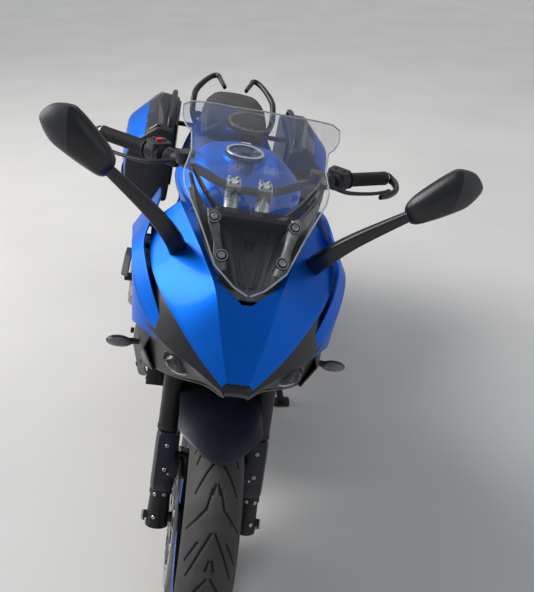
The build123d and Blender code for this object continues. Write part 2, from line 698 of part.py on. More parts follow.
# Side cowls of one pair are mirror images; the lower one is cut where the upper one covers it
cowls = {}
for name, rows in (("side_cowl", WING), ("lower_cowl", LOWER)):
    with BuildPart() as cowls[name + "_right"]:
        add(skin([(row[0], [(-x, z) for x, z in row[1:][::-1]]) for row in rows], PANEL))
        if name == "lower_cowl":
            add(cowls["side_cowl_right"].part, mode=Mode.SUBTRACT)
    with BuildPart() as cowls[name + "_left"]:
        add(mirror(cowls[name + "_right"].part, about=Plane.YZ, mode=Mode.PRIVATE))

# Headlamps: two oval lenses let into the lamp cowl
LAMP = (104, -752, 780)
LAMP_SIZE = (34, 22, 21)


def egg(centre, radii):
    """An ellipsoid with its axes along the machine's."""
    ball = Solid.make_sphere(1)
    return Pos(*centre) * scale(ball, by=radii, mode=Mode.PRIVATE)


with BuildPart() as headlamps:
    for side in (-1, 1):
        add(egg((side * LAMP[0], LAMP[1], LAMP[2]), LAMP_SIZE))

# Windscreen: a sheet bent about a leaning axis, trimmed to its outline
SCREEN_WALL = 6.5
SCREEN_LEAN = 1.28
SCREEN_BEND = 480.0
SCREEN_Y, SCREEN_Z = -749.0, 953.0
# x, z down the right-hand edge
SCREEN_EDGE = (
    (0, 1206), (105, 1203), (150, 1199), (168, 1190), (168, 1175), (160, 1160), (144, 1150), (140, 1125), (150, 1098),
    (146, 1080), (125, 1055), (100, 1025), (70, 983), (18, 953), (0, 951),
)


def screen_y(x, z):
    """Front face of the screen."""
    return SCREEN_Y + (z - SCREEN_Z) * SCREEN_LEAN + x * x / 2 / SCREEN_BEND


with BuildPart() as windscreen:
    low, high = SCREEN_Z - 20, 1220
    with BuildSketch(Plane.XY.offset(low)):
        with BuildLine():
            outer = ThreePointArc((-180, screen_y(180, low)), (0, screen_y(0, low)), (180, screen_y(180, low)))
            inner = ThreePointArc(
                (-180, screen_y(180, low) + SCREEN_WALL), (0, screen_y(0, low) + SCREEN_WALL),
                (180, screen_y(180, low) + SCREEN_WALL),
            )
            Line(outer @ 0, inner @ 0)
            Line(outer @ 1, inner @ 1)
        make_face()
    extrude(amount=(high - low) * hypot(1, SCREEN_LEAN), dir=(0, SCREEN_LEAN, 1))
    with BuildSketch(Plane(origin=(0, -900, 0), x_dir=(1, 0, 0), z_dir=(0, -1, 0))):
        with BuildLine():
            Polyline(*[(-x, z) for x, z in SCREEN_EDGE[1:-1]][::-1], *SCREEN_EDGE, close=True)
        make_face()
    extrude(amount=-700, mode=Mode.INTERSECT)

# Inner cowl: the dark trough behind the screen, with cheeks that carry it
INNER = (
    (-744, ((0, 936), (14, 938), (40, 930))),
    (-700, ((0, 946), (24, 950), (62, 962))),
    (-640, ((0, 962), (44, 972), (92, 1012))),
    (-570, ((0, 985), (70, 996), (116, 1030))),
    (-535, ((0, 994), (96, 1000), (126, 1012))),
)
# Where the screen is screwed on: a point inside its wall, and the boss's foot in the inner cowl
SCREEN_BOSSES = (((80, -622, 1042), (76, -602, 1000)), ((59, -686, 994), (55, -668, 962)))
with BuildPart() as inner_cowl:
    add(skin([(y, spread(points)) for y, points in INNER], PANEL))
    for tip, foot in SCREEN_BOSSES:
        add(pair([tip, foot], 10))
with BuildPart() as display:
    with BuildSketch(Plane(origin=(0, -548, 1012), x_dir=(1, 0, 0), z_dir=(0, 0.75, 0.66))):
        RectangleRounded(160, 98, 12)
    extrude(amount=-22)

# Fairing stay: bars from the steering head to the cowls, lamps, display and mirrors
with BuildPart() as fairing_stay:
    add(rod([(0, -455, 852), (0, -620, 905), (0, -700, 915)], 11))
    add(rod([(-142, -606, 920), (142, -606, 920)], 9))
    add(pair([(142, -606, 920), (142, -606, 934)], 12))
    add(rod([(0, -620, 905), (0, -600, 990)], 9))
    add(pair([(170, -230, 470), (238, -230, 470)], 8))
    add(pair([(205, -300, 780), (251, -300, 800)], 8))
    add(pair([(180, -200, 760), (205, -300, 780)], 8))

# Mirrors: a flat tapered stalk, a domed leaf-shaped shell and the glass
MIRROR_Y = -662.0
MIRROR_MIDDLE = (338, 1172)
MIRROR_LEAF = (
    (272, 1135), (278, 1160), (304, 1192), (334, 1222), (350, 1231), (380, 1228), (400, 1212), (404, 1196),
    (388, 1166), (362, 1146), (322, 1122), (290, 1110),
)
# distance in front of the glass, and size of the outline there
MIRROR_DOME = ((0, 1.0), (12, 0.97), (26, 0.78), (34, 0.42))
MIRROR_RIM = 5.0
GLASS_DEPTH = 4.0
# point, width and depth of the stalk's section
MIRROR_STALK = (
    ((140, -606, 934), 48, 24), ((158, -622, 986), 46, 22), ((205, -642, 1048), 36, 20), ((284, -668, 1126), 25, 16),
)


def leaf(side, size, shrink=0.0):
    """The mirror's outline on one side of the machine, scaled about its middle and drawn in."""
    u, v = MIRROR_MIDDLE
    points = [(side * (u + (x - u) * size), v + (z - v) * size) for x, z in MIRROR_LEAF]
    with BuildSketch(station(0)) as outline:
        with BuildLine():
            Polyline(*points, close=True)
        make_face()
        if shrink:
            offset(amount=-shrink, mode=Mode.REPLACE)
    return outline.sketch_local


def blade(sections, side):
    """A flat bar through rounded sections, each (point, width, depth), its width held in the front view."""
    with BuildPart() as bar:
        for (x, y, z), wide, deep in sections:
            first, last = sections[0][0], sections[-1][0]
            run = Vector(side * (last[0] - first[0]), last[1] - first[1], last[2] - first[2])
            with BuildSketch(Plane(origin=(side * x, y, z), x_dir=run.cross(Vector(0, 1, 0)), z_dir=run)):
                RectangleRounded(wide, deep, 7)
        loft(ruled=True)
    return bar.part


mirrors, glasses = {}, []
for word, side in (("left", 1), ("right", -1)):
    with BuildPart() as mirrors[word]:
        for depth, size in MIRROR_DOME:
            with BuildSketch(station(MIRROR_Y - depth)):
                add(leaf(side, size))
        loft(ruled=True)
        add(blade(MIRROR_STALK, side))
        with BuildSketch(station(MIRROR_Y)):
            add(leaf(side, 1.0, MIRROR_RIM))
        extrude(amount=GLASS_DEPTH, mode=Mode.SUBTRACT)
    with BuildPart() as pane:
        with BuildSketch(station(MIRROR_Y)):
            add(leaf(side, 1.0, MIRROR_RIM + FIT_GAP))
        extrude(amount=GLASS_DEPTH)
    glasses.append(pane.part)
with BuildPart() as mirror_glasses:
    add(glasses)
mirror_left, mirror_right = mirrors["left"], mirrors["right"]

# Turn signals on short stalks, front and rear: the lens's middle and the points of its stalk
SIGNAL_SIZE = (28, 12, 14)
SIGNALS = (
    ((240, -618, 714), ((196, -612, 714),)),
    ((120, 852, 780), ((40, 848, 780), (20, 838, 780))),
)
with BuildPart() as turn_signals:
    for side in (-1, 1):
        for (x, y, z), root in SIGNALS:
            add(egg((side * x, y, z), SIGNAL_SIZE))
            add(rod([(side * x, y, z), *[(side * u, v, w) for u, v, w in root]], 6))

# Handlebar on two risers, with grips and bar ends
BAR_HALF = [(36, -400, 1014), (110, -392, 1040), (200, -330, 1043), (353, -238, 1036)]
GRIP_START, GRIP_END = (240, -306, 1041), (345, -243, 1037)
with BuildPart() as handlebar:
    add(pair(BAR_HALF, BAR_R))
    add(rod([(-36, -400, 1014), (36, -400, 1014)], BAR_R))
    add(pair([GRIP_START, GRIP_END], GRIP_R))
    add(pair([(345, -243, 1037), (362, -232, 1036)], 18))
    with BuildSketch(steer_plane(TOP_CLAMP_S + CLAMP_THICK)):
        with Locations((-36, FORK_OFFSET), (36, FORK_OFFSET)):
            Circle(17)
    extrude(amount=62)
    for x in (-36, 36):
        with BuildSketch(across(x - 15)):
            with Locations((-400, 1014)):
                Circle(21)
        extrude(amount=30)

with BuildPart() as hand_controls:
    for side in (-1, 1):
        add(rod([(side * 205, -327, 1043), (side * 236, -308, 1041)], 24))
        add(rod([(side * 165, -352, 1042), (side * 195, -333, 1043)], 20))
        add(rod([(side * 180, -345, 1043), (side * 150, -392, 1062)], 15))
with BuildPart() as levers:
    for side in (-1, 1):
        add(rod([(side * 160, -378, 1056), (side * 235, -362, 1046), (side * 350, -290, 1040)], 7))
        add(rod([(side * 364, -233, 1036), (side * 366, -300, 1036), (side * 300, -372, 1036)], 9))

# Front fender over the tyre, with a rounded tongue in front and a leaf down to each fork leg
FENDER_R = 337.0
FENDER_DROP = 26.0
FENDER_HALF = 92.0
FENDER_WALL = 4.0
# y, z from the axle
FENDER_LEAF = ((-30, 313), (60, 308), (125, 288), (150, 250), (110, 190), (70, 190))
with BuildPart() as front_fender:
    with BuildSketch(wheel_plane(FRONT_AXLE)):
        with BuildLine():
            for depth in (0, FENDER_WALL):
                ThreePointArc(
                    (-FENDER_HALF, FENDER_R - FENDER_DROP - depth), (0, FENDER_R - depth),
                    (FENDER_HALF, FENDER_R - FENDER_DROP - depth),
                )
            for side in (-1, 1):
                Line(
                    (side * FENDER_HALF, FENDER_R - FENDER_DROP),
                    (side * FENDER_HALF, FENDER_R - FENDER_DROP - FENDER_WALL),
                )
        make_face()
    revolve(axis=spin_axis(FRONT_AXLE))
    with BuildSketch(across(-FENDER_HALF - 1)):
        with BuildLine():
            Polyline(
                (FRONT_Y, FRONT_RADIUS), (FRONT_Y - 260, FRONT_RADIUS + 200), (FRONT_Y - 260, FRONT_RADIUS + 420),
                (FRONT_Y + 100, FRONT_RADIUS + 480), (FRONT_Y + 341, FRONT_RADIUS + 366), close=True,
            )
        make_face()
    extrude(amount=2 * FENDER_HALF + 2, mode=Mode.INTERSECT)
    with BuildSketch(Plane.XY.offset(FRONT_RADIUS)):
        with BuildLine():
            nose = ThreePointArc((-56, FRONT_Y - 82), (0, FRONT_Y - 128), (56, FRONT_Y - 82))
            left = ThreePointArc(nose @ 1, (80, FRONT_Y - 46), (FENDER_HALF, FRONT_Y + 8))
            right = ThreePointArc(nose @ 0, (-80, FRONT_Y - 46), (-FENDER_HALF, FRONT_Y + 8))
            Polyline(left @ 1, (FENDER_HALF, FRONT_Y + 420), (-FENDER_HALF, FRONT_Y + 420), right @ 1)
        make_face()
    extrude(amount=FENDER_R + 10, mode=Mode.INTERSECT)
    for side in (-1, 1):
        low_x = FENDER_HALF - 8 if side > 0 else -FENDER_HALF + 4
        with BuildSketch(across(low_x)):
            with BuildLine():
                Polyline(*[(FRONT_Y + y, FRONT_RADIUS + z) for y, z in FENDER_LEAF], close=True)
            make_face()
        extrude(amount=4)

# Side cases: a hollow shell with a lid that opens outward, on brackets from the tail
CASE_SPLIT = 292.0
CASE_WALL = 4.0
CASE_HINGE = (CASE_SPLIT, 562)
# y, then (x, z) of the case outline, from the inner bottom round the top to the outer bottom
CASE = (
    (372, ((196, 600), (196, 856), (250, 864), (326, 800), (346, 760), (348, 690), (340, 640), (290, 600))),
    (600, ((196, 574), (196, 893), (266, 906), (366, 806), (376, 700), (373, 650), (360, 606), (320, 575))),
    (830, ((196, 590), (196, 844), (262, 850), (346, 764), (360, 700), (358, 650), (344, 612), (310, 586))),
)


def case_hollow(side):
    """The space inside one case."""
    rows = []
    for y, points in CASE:
        inside = [(x + (266 - x) * 0.04, z + (750 - z) * 0.024) for x, z in points]
        rows.append((y + (600 - y) * 0.02, [(side * x, z) for x, z in inside[::side]]))
    return hull(rows)


HINGE_PIN_R = 3.5
HINGE_GAP = 0.3
LUG_Y = (478, 702)
KNUCKLE_R = 7.5
cases, lids = {}, {}
for word, side in (("left", 1), ("right", -1)):
    outer = hull([(y, [(side * x, z) for x, z in points[::side]]) for y, points in CASE])
    walls = outer - case_hollow(side)
    cut = Pos(side * (CASE_SPLIT + 200 + 0.4), 600, 750) * Box(400, 700, 600)
    rest = Pos(side * (CASE_SPLIT - 200 - 0.4), 600, 750) * Box(400, 700, 600)
    pin_start = (side * CASE_SPLIT, LUG_Y[0] - 10, CASE_HINGE[1])
    pin_end = (side * CASE_SPLIT, LUG_Y[1] + 10, CASE_HINGE[1])
    knuckle_start = (side * CASE_SPLIT, LUG_Y[0] + 1, CASE_HINGE[1])
    knuckle_end = (side * CASE_SPLIT, LUG_Y[1] - 1, CASE_HINGE[1])
    lug_x = sorted((side * (CASE_SPLIT - 12), side * (CASE_SPLIT + 5)))
    leaf_x = sorted((side * (CASE_SPLIT + 0.6), side * (CASE_SPLIT + 8)))
    with BuildPart() as lids[word]:
        add(walls & cut)
        add(block((leaf_x[0], LUG_Y[0] + 1, CASE_HINGE[1]), (leaf_x[1], LUG_Y[1] - 1, 585)))
        add(rod([knuckle_start, knuckle_end], KNUCKLE_R))
        bore_start = (pin_start[0], pin_start[1] - 5, pin_start[2])
        add(rod([bore_start, pin_end], HINGE_PIN_R + HINGE_GAP), mode=Mode.SUBTRACT)
        add(case_hollow(side), mode=Mode.SUBTRACT)
    with BuildPart() as cases[word]:
        add(walls & rest)
        for y in (LUG_Y[0] - 10, LUG_Y[1]):
            add(block((lug_x[0], y, CASE_HINGE[1] - 7), (lug_x[1], y + 10, 574)))
            add(block((min(side * 280, side * 291.6), y, 570), (max(side * 280, side * 291.6), y + 10, 592)))
        add(rod([pin_start, pin_end], HINGE_PIN_R))
        add(case_hollow(side), mode=Mode.SUBTRACT)
case_left, case_right = cases["left"], cases["right"]
case_lid_left, case_lid_right = lids["left"], lids["right"]
with BuildPart() as case_mounts:
    for y, z in ((480, 755), (660, 795)):
        add(pair([(190, y, z), (124 - (y - 330) * 0.0973, y, z)], 9))
    for side in (-1, 1):
        add(block((min(side * 189, side * 195.7), 440, 640), (max(side * 189, side * 195.7), 720, 860)))

# Side stand, folding rearward about a pin that leans outward
with BuildPart() as side_stand:
    with BuildSketch(Plane(origin=STAND_PIVOT - STAND_AXIS * 8, z_dir=STAND_AXIS)):
        Circle(17)
    extrude(amount=20)
    add(rod([tuple(STAND_PIVOT + STAND_AXIS * 2), tuple(STAND_FOOT)], 12))
    with BuildSketch(Plane(origin=STAND_FOOT, z_dir=(-sin(radians(LEAN)), 0, cos(radians(LEAN))))):
        RectangleRounded(58, 44, 10)
    extrude(amount=-8)
    with BuildSketch(Plane(origin=STAND_PIVOT - STAND_AXIS * 30, z_dir=STAND_AXIS)):
        Circle(PIN_R + 0.1)
    extrude(amount=44, mode=Mode.SUBTRACT)

# Foot rests and their plates
with BuildPart() as footrests:
    for side in (-1, 1):
        low_x = PLATE_OUT if side > 0 else -PLATE_OUT - 8
        add(profile(low_x, low_x + 8, ((110, 520), (190, 470), (240, 400), (250, 350), (215, 345), (150, 400))))
        add(rod([(side * (PLATE_OUT + 4), 232, 368), (side * 300, 220, 372)], 11))
        add(profile(low_x, low_x + 8, ((110, 520), (150, 560), (430, 500), (430, 470), (190, 470))))
        add(rod([(side * (PLATE_OUT + 4), 420, 484), (side * 285, 430, 486)], 10))

pieces = {
    "front_tyre": front_tyre, "rear_tyre": rear_tyre, "front_rim": front_rim, "rear_rim": rear_rim,
    "front_discs": front_discs, "rear_disc": rear_disc, "sprocket": sprocket, "drive_chain": drive_chain,
    "fork": fork, "front_calipers": front_calipers, "front_fender": front_fender, "handlebar": handlebar,
    "hand_controls": hand_controls, "levers": levers, "main_frame": main_frame, "engine": engine,
    "swingarm": swingarm, "rear_shock": rear_shock, "rear_caliper": rear_caliper, "radiator": radiator,
    "exhaust": exhaust, "fuel_tank": fuel_tank, "fuel_cap": fuel_cap, "rider_seat": rider_seat,
    "pillion_seat": pillion_seat, "tail_frame": tail_frame, "tail_cowl": tail_cowl, "grab_rails": grab_rails,
    "tail_lamp": tail_lamp, "plate_holder": plate_holder, "nose_cowl": nose_cowl, "lamp_cowl": lamp_cowl,
    "inner_cowl": inner_cowl, "display": display, "windscreen": windscreen, "fairing_stay": fairing_stay,
    "mirror_left": mirror_left, "mirror_right": mirror_right, "mirror_glasses": mirror_glasses,
    "turn_signals": turn_signals, "headlamps": headlamps, "case_left": case_left, "case_right": case_right,
    "case_lid_left": case_lid_left, "case_lid_right": case_lid_right, "case_mounts": case_mounts,
    "side_stand": side_stand, "footrests": footrests, **cowls,
}
# Where two pieces on one body would share space, the first is cut to fit the second
FITS = (
    ("lamp_cowl", "lower_cowl_left"), ("lamp_cowl", "lower_cowl_right"), ("lamp_cowl", "side_cowl_left"),
    ("lamp_cowl", "side_cowl_right"), ("case_mounts", "tail_frame"), ("tail_cowl", "case_mounts"),
    ("inner_cowl", "display"), ("exhaust", "engine"), ("fairing_stay", "lamp_cowl"),
    ("fairing_stay", "inner_cowl"), ("nose_cowl", "mirror_left"), ("nose_cowl", "mirror_right"),
    ("fairing_stay", "nose_cowl"), ("fairing_stay", "mirror_left"), ("fairing_stay", "mirror_right"),
    ("fairing_stay", "display"), ("fairing_stay", "main_frame"), ("fairing_stay", "engine"),
    ("radiator", "main_frame"), ("rear_shock", "main_frame"), ("rear_shock", "swingarm"),
    ("rear_shock", "engine"), ("turn_signals", "lower_cowl_left"), ("turn_signals", "lower_cowl_right"),
    ("turn_signals", "tail_cowl"), ("exhaust", "radiator"), ("turn_signals", "tail_lamp"),
    ("front_calipers", "fork"), ("front_fender", "fork"), ("rider_seat", "fuel_tank"),
    ("grab_rails", "pillion_seat"), ("grab_rails", "tail_frame"), ("tail_cowl", "grab_rails"),
    ("hand_controls", "handlebar"), ("levers", "hand_controls"), ("levers", "handlebar"),
    ("lamp_cowl", "headlamps"), ("inner_cowl", "nose_cowl"), ("inner_cowl", "windscreen"),
    ("fairing_stay", "inner_cowl"), ("tail_frame", "main_frame"), ("rider_seat", "tail_cowl"),
    ("tail_cowl", "tail_frame"), ("fairing_stay", "lower_cowl_left"),
    ("fairing_stay", "lower_cowl_right"), ("fairing_stay", "side_cowl_left"),
    ("fairing_stay", "side_cowl_right"), ("turn_signals", "plate_holder"), ("footrests", "swingarm"),
    ("exhaust", "footrests"),
)
shapes = {name: piece.part for name, piece in pieces.items()}
for name, seat in FITS:
    shapes[name] = shapes[name] - shapes[seat]

# Lean the machine onto its stand, set its origin at the bottom centre of its box, and write each piece
os.makedirs("parts", exist_ok=True)
leaned = {name: Rot(0, LEAN, 0) * shape for name, shape in shapes.items()}
box = Compound(list(leaned.values())).bounding_box()
SHIFT = Vector(-(box.min.X + box.max.X) / 2, -(box.min.Y + box.max.Y) / 2, -box.min.Z)
print("shift", round(SHIFT.X, 4), round(SHIFT.Y, 4), round(SHIFT.Z, 4))
print("size", round(box.size.X, 2), round(box.size.Y, 2), round(box.size.Z, 2))
for name, shape in leaned.items():
    placed = Pos(SHIFT.X, SHIFT.Y, SHIFT.Z) * shape
    placed.label = name
    export_step(placed, "parts/" + name + ".step")
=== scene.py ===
"""Sport touring motorcycle: the dressed model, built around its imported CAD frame.

Every piece is drawn with the machine upright, in millimetres, in the frame that the solids were drawn in:
-Y is forward, +X is the rider's left, +Z is up, and the origin is on the ground midway between the axles.
The Stand class turns such points into the leaning machine's frame, in metres.
"""

from __future__ import annotations

import json
import logging
import math
from dataclasses import dataclass
from enum import Enum
from typing import Iterable, Sequence

import bmesh
import bpy
from mathutils import Matrix, Vector

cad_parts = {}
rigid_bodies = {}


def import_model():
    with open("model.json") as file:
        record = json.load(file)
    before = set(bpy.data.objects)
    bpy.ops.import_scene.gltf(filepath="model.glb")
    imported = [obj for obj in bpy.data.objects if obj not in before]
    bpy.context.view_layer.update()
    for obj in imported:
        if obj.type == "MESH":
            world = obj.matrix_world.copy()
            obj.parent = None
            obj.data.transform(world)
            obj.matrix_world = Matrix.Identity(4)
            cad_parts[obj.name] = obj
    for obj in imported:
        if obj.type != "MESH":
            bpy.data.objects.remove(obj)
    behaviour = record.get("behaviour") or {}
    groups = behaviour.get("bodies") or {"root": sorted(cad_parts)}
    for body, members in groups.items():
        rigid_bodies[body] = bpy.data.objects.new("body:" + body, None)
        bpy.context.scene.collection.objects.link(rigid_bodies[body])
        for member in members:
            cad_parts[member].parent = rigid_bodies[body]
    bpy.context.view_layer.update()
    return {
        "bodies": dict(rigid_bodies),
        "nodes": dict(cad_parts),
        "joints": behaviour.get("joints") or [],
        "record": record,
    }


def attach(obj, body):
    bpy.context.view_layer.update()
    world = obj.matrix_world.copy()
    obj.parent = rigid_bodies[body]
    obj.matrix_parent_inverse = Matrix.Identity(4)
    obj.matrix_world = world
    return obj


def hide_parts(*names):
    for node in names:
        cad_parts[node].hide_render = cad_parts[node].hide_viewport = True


LOG = logging.getLogger("motorcycle")
Mesh = bmesh.types.BMesh
Pair = tuple[float, float]
Point = tuple[float, float, float]
Rows = list[list[Point]]

RAKE_DEG = 25.0
FRONT_AXLE: Pair = (-730.0, 300.0)
REAR_AXLE: Pair = (730.0, 311.0)


class Body(str, Enum):
    """The bodies of the CAD frame that the pieces ride on."""

    CHASSIS = "chassis"
    STEERING = "steering"
    FRONT_WHEEL = "front_wheel"
    REAR_WHEEL = "rear_wheel"
    LEFT_LID = "left_lid"
    RIGHT_LID = "right_lid"
    TANK_CAP = "tank_cap"


class Side(int, Enum):
    """The two sides of the machine, as signs of X."""

    LEFT = 1
    RIGHT = -1

    @property
    def word(self) -> str:
        """The side's name, as it ends a piece's name."""
        return "left" if self is Side.LEFT else "right"


class Axis(Enum):
    """The axes that an outline can be drawn out along."""

    X = "X"
    Z = "Z"


@dataclass(frozen=True)
class Stand:
    """Turns upright millimetres into the leaning machine's metres.

    Attributes:
        lean_deg: how far the machine leans over onto its side stand.
        front_axle: the front axle's middle in upright millimetres.
    """

    lean_deg: float = 10.5
    front_axle: Point = (0.0, *FRONT_AXLE)

    def matrix(self, joints: Sequence[dict]) -> Matrix:
        """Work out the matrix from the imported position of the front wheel's joint.

        Args:
            joints: the frame's joints.

        Returns:
            The matrix from upright millimetres to the row frame in metres.
        """
        spin = next(joint for joint in joints if joint["name"] == "front_wheel_spin")
        turned = Matrix.Rotation(math.radians(self.lean_deg), 4, "Y") @ Matrix.Scale(0.001, 4)
        shift = Vector(spin["pos_m"]) - turned @ Vector(self.front_axle)
        return Matrix.Translation(shift) @ turned


@dataclass(frozen=True)
class Finish:
    """A surface finish made from procedural nodes on Object coordinates.

    Attributes:
        name: the material's name.
        colour: the main linear colour.
        roughness: the main roughness.
        metallic: how metallic it is.
        coat: strength of a clear coat over it.
        coat_roughness: roughness of that coat.
        grain: size of the moulded grain in metres, or 0 for none.
        bump: height of the grain's bump.
        mottle: how far the colour wanders between its two shades.
        patch: size of those shades in metres.
        dust: share of pale dust laid on faces that look up.
        flake: strength of metal flakes in the paint.
        alpha: how opaque it is.
        transmission: how much light goes through.
        brushed: stretch of the grain along one axis, for brushed metal.
        mask: name of a mesh attribute where painted shade darkens the colour, where it is 1.
    """

    name: str
    colour: tuple[float, float, float]
    roughness: float = 0.5
    metallic: float = 0.0
    coat: float = 0.0
    coat_roughness: float = 0.04
    grain: float = 0.0
    bump: float = 0.15
    mottle: float = 0.15
    patch: float = 0.08
    dust: float = 0.0
    flake: float = 0.0
    alpha: float = 1.0
    transmission: float = 0.0
    brushed: float = 1.0
    mask: str = ""

    def build(self) -> bpy.types.Material:
        """Make the material.

        Returns:
            The new material, or the one already made under this name.
        """
        made = bpy.data.materials.get(self.name)
        if made:
            return made
        material = bpy.data.materials.new(self.name)
        material.use_nodes = True
        tree = material.node_tree
        shader = tree.nodes["Principled BSDF"]
        shader.inputs["Metallic"].default_value = self.metallic
        shader.inputs["Coat Weight"].default_value = self.coat
        shader.inputs["Coat Roughness"].default_value = self.coat_roughness
        shader.inputs["Transmission Weight"].default_value = self.transmission
        shader.inputs["Alpha"].default_value = self.alpha
        place = tree.nodes.new("ShaderNodeTexCoord")
        colour = self._shades(tree, place)
        if self.dust:
            colour = self._dusty(tree, place, colour)
        # painted shade: darken the colour where the mesh's shade mask is set
        if self.mask:
            colour = self._masked(tree, colour)
        tree.links.new(colour, shader.inputs["Base Color"])
        self._roughness(tree, place, shader)
        if self.grain:
            self._grain(tree, place, shader)
        return material

    def _noise(self, tree: bpy.types.NodeTree, place: bpy.types.Node, size: float, detail: float = 4.0,
               stretch: float = 1.0) -> bpy.types.NodeSocket:
        """Add a noise texture of a given size in metres.

        Args:
            tree: the material's tree.
            place: its Texture Coordinate node.
            size: the noise's size in metres.
            detail: the noise's detail.
            stretch: how far the pattern is drawn out along Y.

        Returns:
            The noise's factor socket.
        """
        source = place.outputs["Object"]
        if stretch != 1.0:
            mapping = tree.nodes.new("ShaderNodeMapping")
            mapping.inputs["Scale"].default_value = (1, 1 / stretch, 1)
            tree.links.new(source, mapping.inputs["Vector"])
            source = mapping.outputs["Vector"]
        noise = tree.nodes.new("ShaderNodeTexNoise")
        noise.inputs["Scale"].default_value = 1 / size
        noise.inputs["Detail"].default_value = detail
        tree.links.new(source, noise.inputs["Vector"])
        return noise.outputs["Fac"]

    def _shades(self, tree: bpy.types.NodeTree, place: bpy.types.Node) -> bpy.types.NodeSocket:
        """Mix two shades of the main colour by slow noise, with flakes where there are any.

        Args:
            tree: the material's tree.
            place: its Texture Coordinate node.

        Returns:
            The socket of the mixed colour.
        """
        ramp = tree.nodes.new("ShaderNodeValToRGB")
        low = [max(0.0, c * (1 - self.mottle)) for c in self.colour]
        high = [min(1.0, c * (1 + self.mottle) + 0.004 * self.mottle) for c in self.colour]
        ramp.color_ramp.elements[0].position = 0.35
        ramp.color_ramp.elements[0].color = (*low, 1)
        ramp.color_ramp.elements[1].position = 0.65
        ramp.color_ramp.elements[1].color = (*high, 1)
        tree.links.new(self._noise(tree, place, self.patch), ramp.inputs["Fac"])
        if not self.flake:
            return ramp.outputs["Color"]
        flakes = tree.nodes.new("ShaderNodeTexVoronoi")
        flakes.inputs["Scale"].default_value = 1500
        tree.links.new(place.outputs["Object"], flakes.inputs["Vector"])
        spark = tree.nodes.new("ShaderNodeMixRGB")
        spark.blend_type = "SOFT_LIGHT"
        spark.inputs["Fac"].default_value = self.flake
        tree.links.new(ramp.outputs["Color"], spark.inputs["Color1"])
        tree.links.new(flakes.outputs["Color"], spark.inputs["Color2"])
        return spark.outputs["Color"]

    def _dusty(self, tree: bpy.types.NodeTree, place: bpy.types.Node,
               colour: bpy.types.NodeSocket) -> bpy.types.NodeSocket:
        """Lay pale dust over faces that look up, broken by noise.

        Args:
            tree: the material's tree.
            place: its Texture Coordinate node.
            colour: the socket of the clean colour.

        Returns:
            The socket of the dusty colour.
        """
        normal = tree.nodes.new("ShaderNodeSeparateXYZ")
        geometry = tree.nodes.new("ShaderNodeNewGeometry")
        tree.links.new(geometry.outputs["Normal"], normal.inputs["Vector"])
        reach = tree.nodes.new("ShaderNodeMapRange")
        reach.inputs["From Min"].default_value = 0.55
        reach.inputs["From Max"].default_value = 1.0
        reach.inputs["To Max"].default_value = self.dust * 2
        tree.links.new(normal.outputs["Z"], reach.inputs["Value"])
        much = tree.nodes.new("ShaderNodeMath")
        much.operation = "MULTIPLY"
        much.use_clamp = True
        tree.links.new(reach.outputs["Result"], much.inputs[0])
        tree.links.new(self._noise(tree, place, 0.03, 6.0), much.inputs[1])
        mix = tree.nodes.new("ShaderNodeMixRGB")
        mix.inputs["Color2"].default_value = (0.36, 0.34, 0.31, 1)
        tree.links.new(much.outputs[0], mix.inputs["Fac"])
        tree.links.new(colour, mix.inputs["Color1"])
        return mix.outputs["Color"]

    def _masked(self, tree: bpy.types.NodeTree, colour: bpy.types.NodeSocket) -> bpy.types.NodeSocket:
        """Paint shade into the colour: darken it where the mesh's mask attribute is 1.

        Args:
            tree: the material's tree.
            colour: the socket of the plain colour.

        Returns:
            The socket of the colour with the painted shade.
        """
        mask = tree.nodes.new("ShaderNodeAttribute")
        mask.attribute_name = self.mask
        mix = tree.nodes.new("ShaderNodeMixRGB")
        # the colour of the painted shade
        mix.inputs["Color2"].default_value = (0.006, 0.006, 0.006, 1)
        tree.links.new(mask.outputs["Fac"], mix.inputs["Fac"])
        tree.links.new(colour, mix.inputs["Color1"])
        return mix.outputs["Color"]

    def _roughness(self, tree: bpy.types.NodeTree, place: bpy.types.Node, shader: bpy.types.Node) -> None:
        """Let the roughness wander a little, as handling and weather leave it.

        Args:
            tree: the material's tree.
            place: its Texture Coordinate node.
            shader: its Principled BSDF node.
        """
        spread = tree.nodes.new("ShaderNodeMapRange")
        spread.inputs["To Min"].default_value = max(0.02, self.roughness * 0.85)
        spread.inputs["To Max"].default_value = min(1.0, self.roughness * 1.15)
        tree.links.new(self._noise(tree, place, self.patch * 0.5, 5.0), spread.inputs["Value"])
        tree.links.new(spread.outputs["Result"], shader.inputs["Roughness"])

    def _grain(self, tree: bpy.types.NodeTree, place: bpy.types.Node, shader: bpy.types.Node) -> None:
        """Give the surface its moulded, cast or brushed grain.

        Args:
            tree: the material's tree.
            place: its Texture Coordinate node.
            shader: its Principled BSDF node.
        """
        bump = tree.nodes.new("ShaderNodeBump")
        bump.inputs["Strength"].default_value = self.bump
        bump.inputs["Distance"].default_value = self.grain * 0.5
        tree.links.new(self._noise(tree, place, self.grain, 3.0, self.brushed), bump.inputs["Height"])
        tree.links.new(bump.outputs["Normal"], shader.inputs["Normal"])


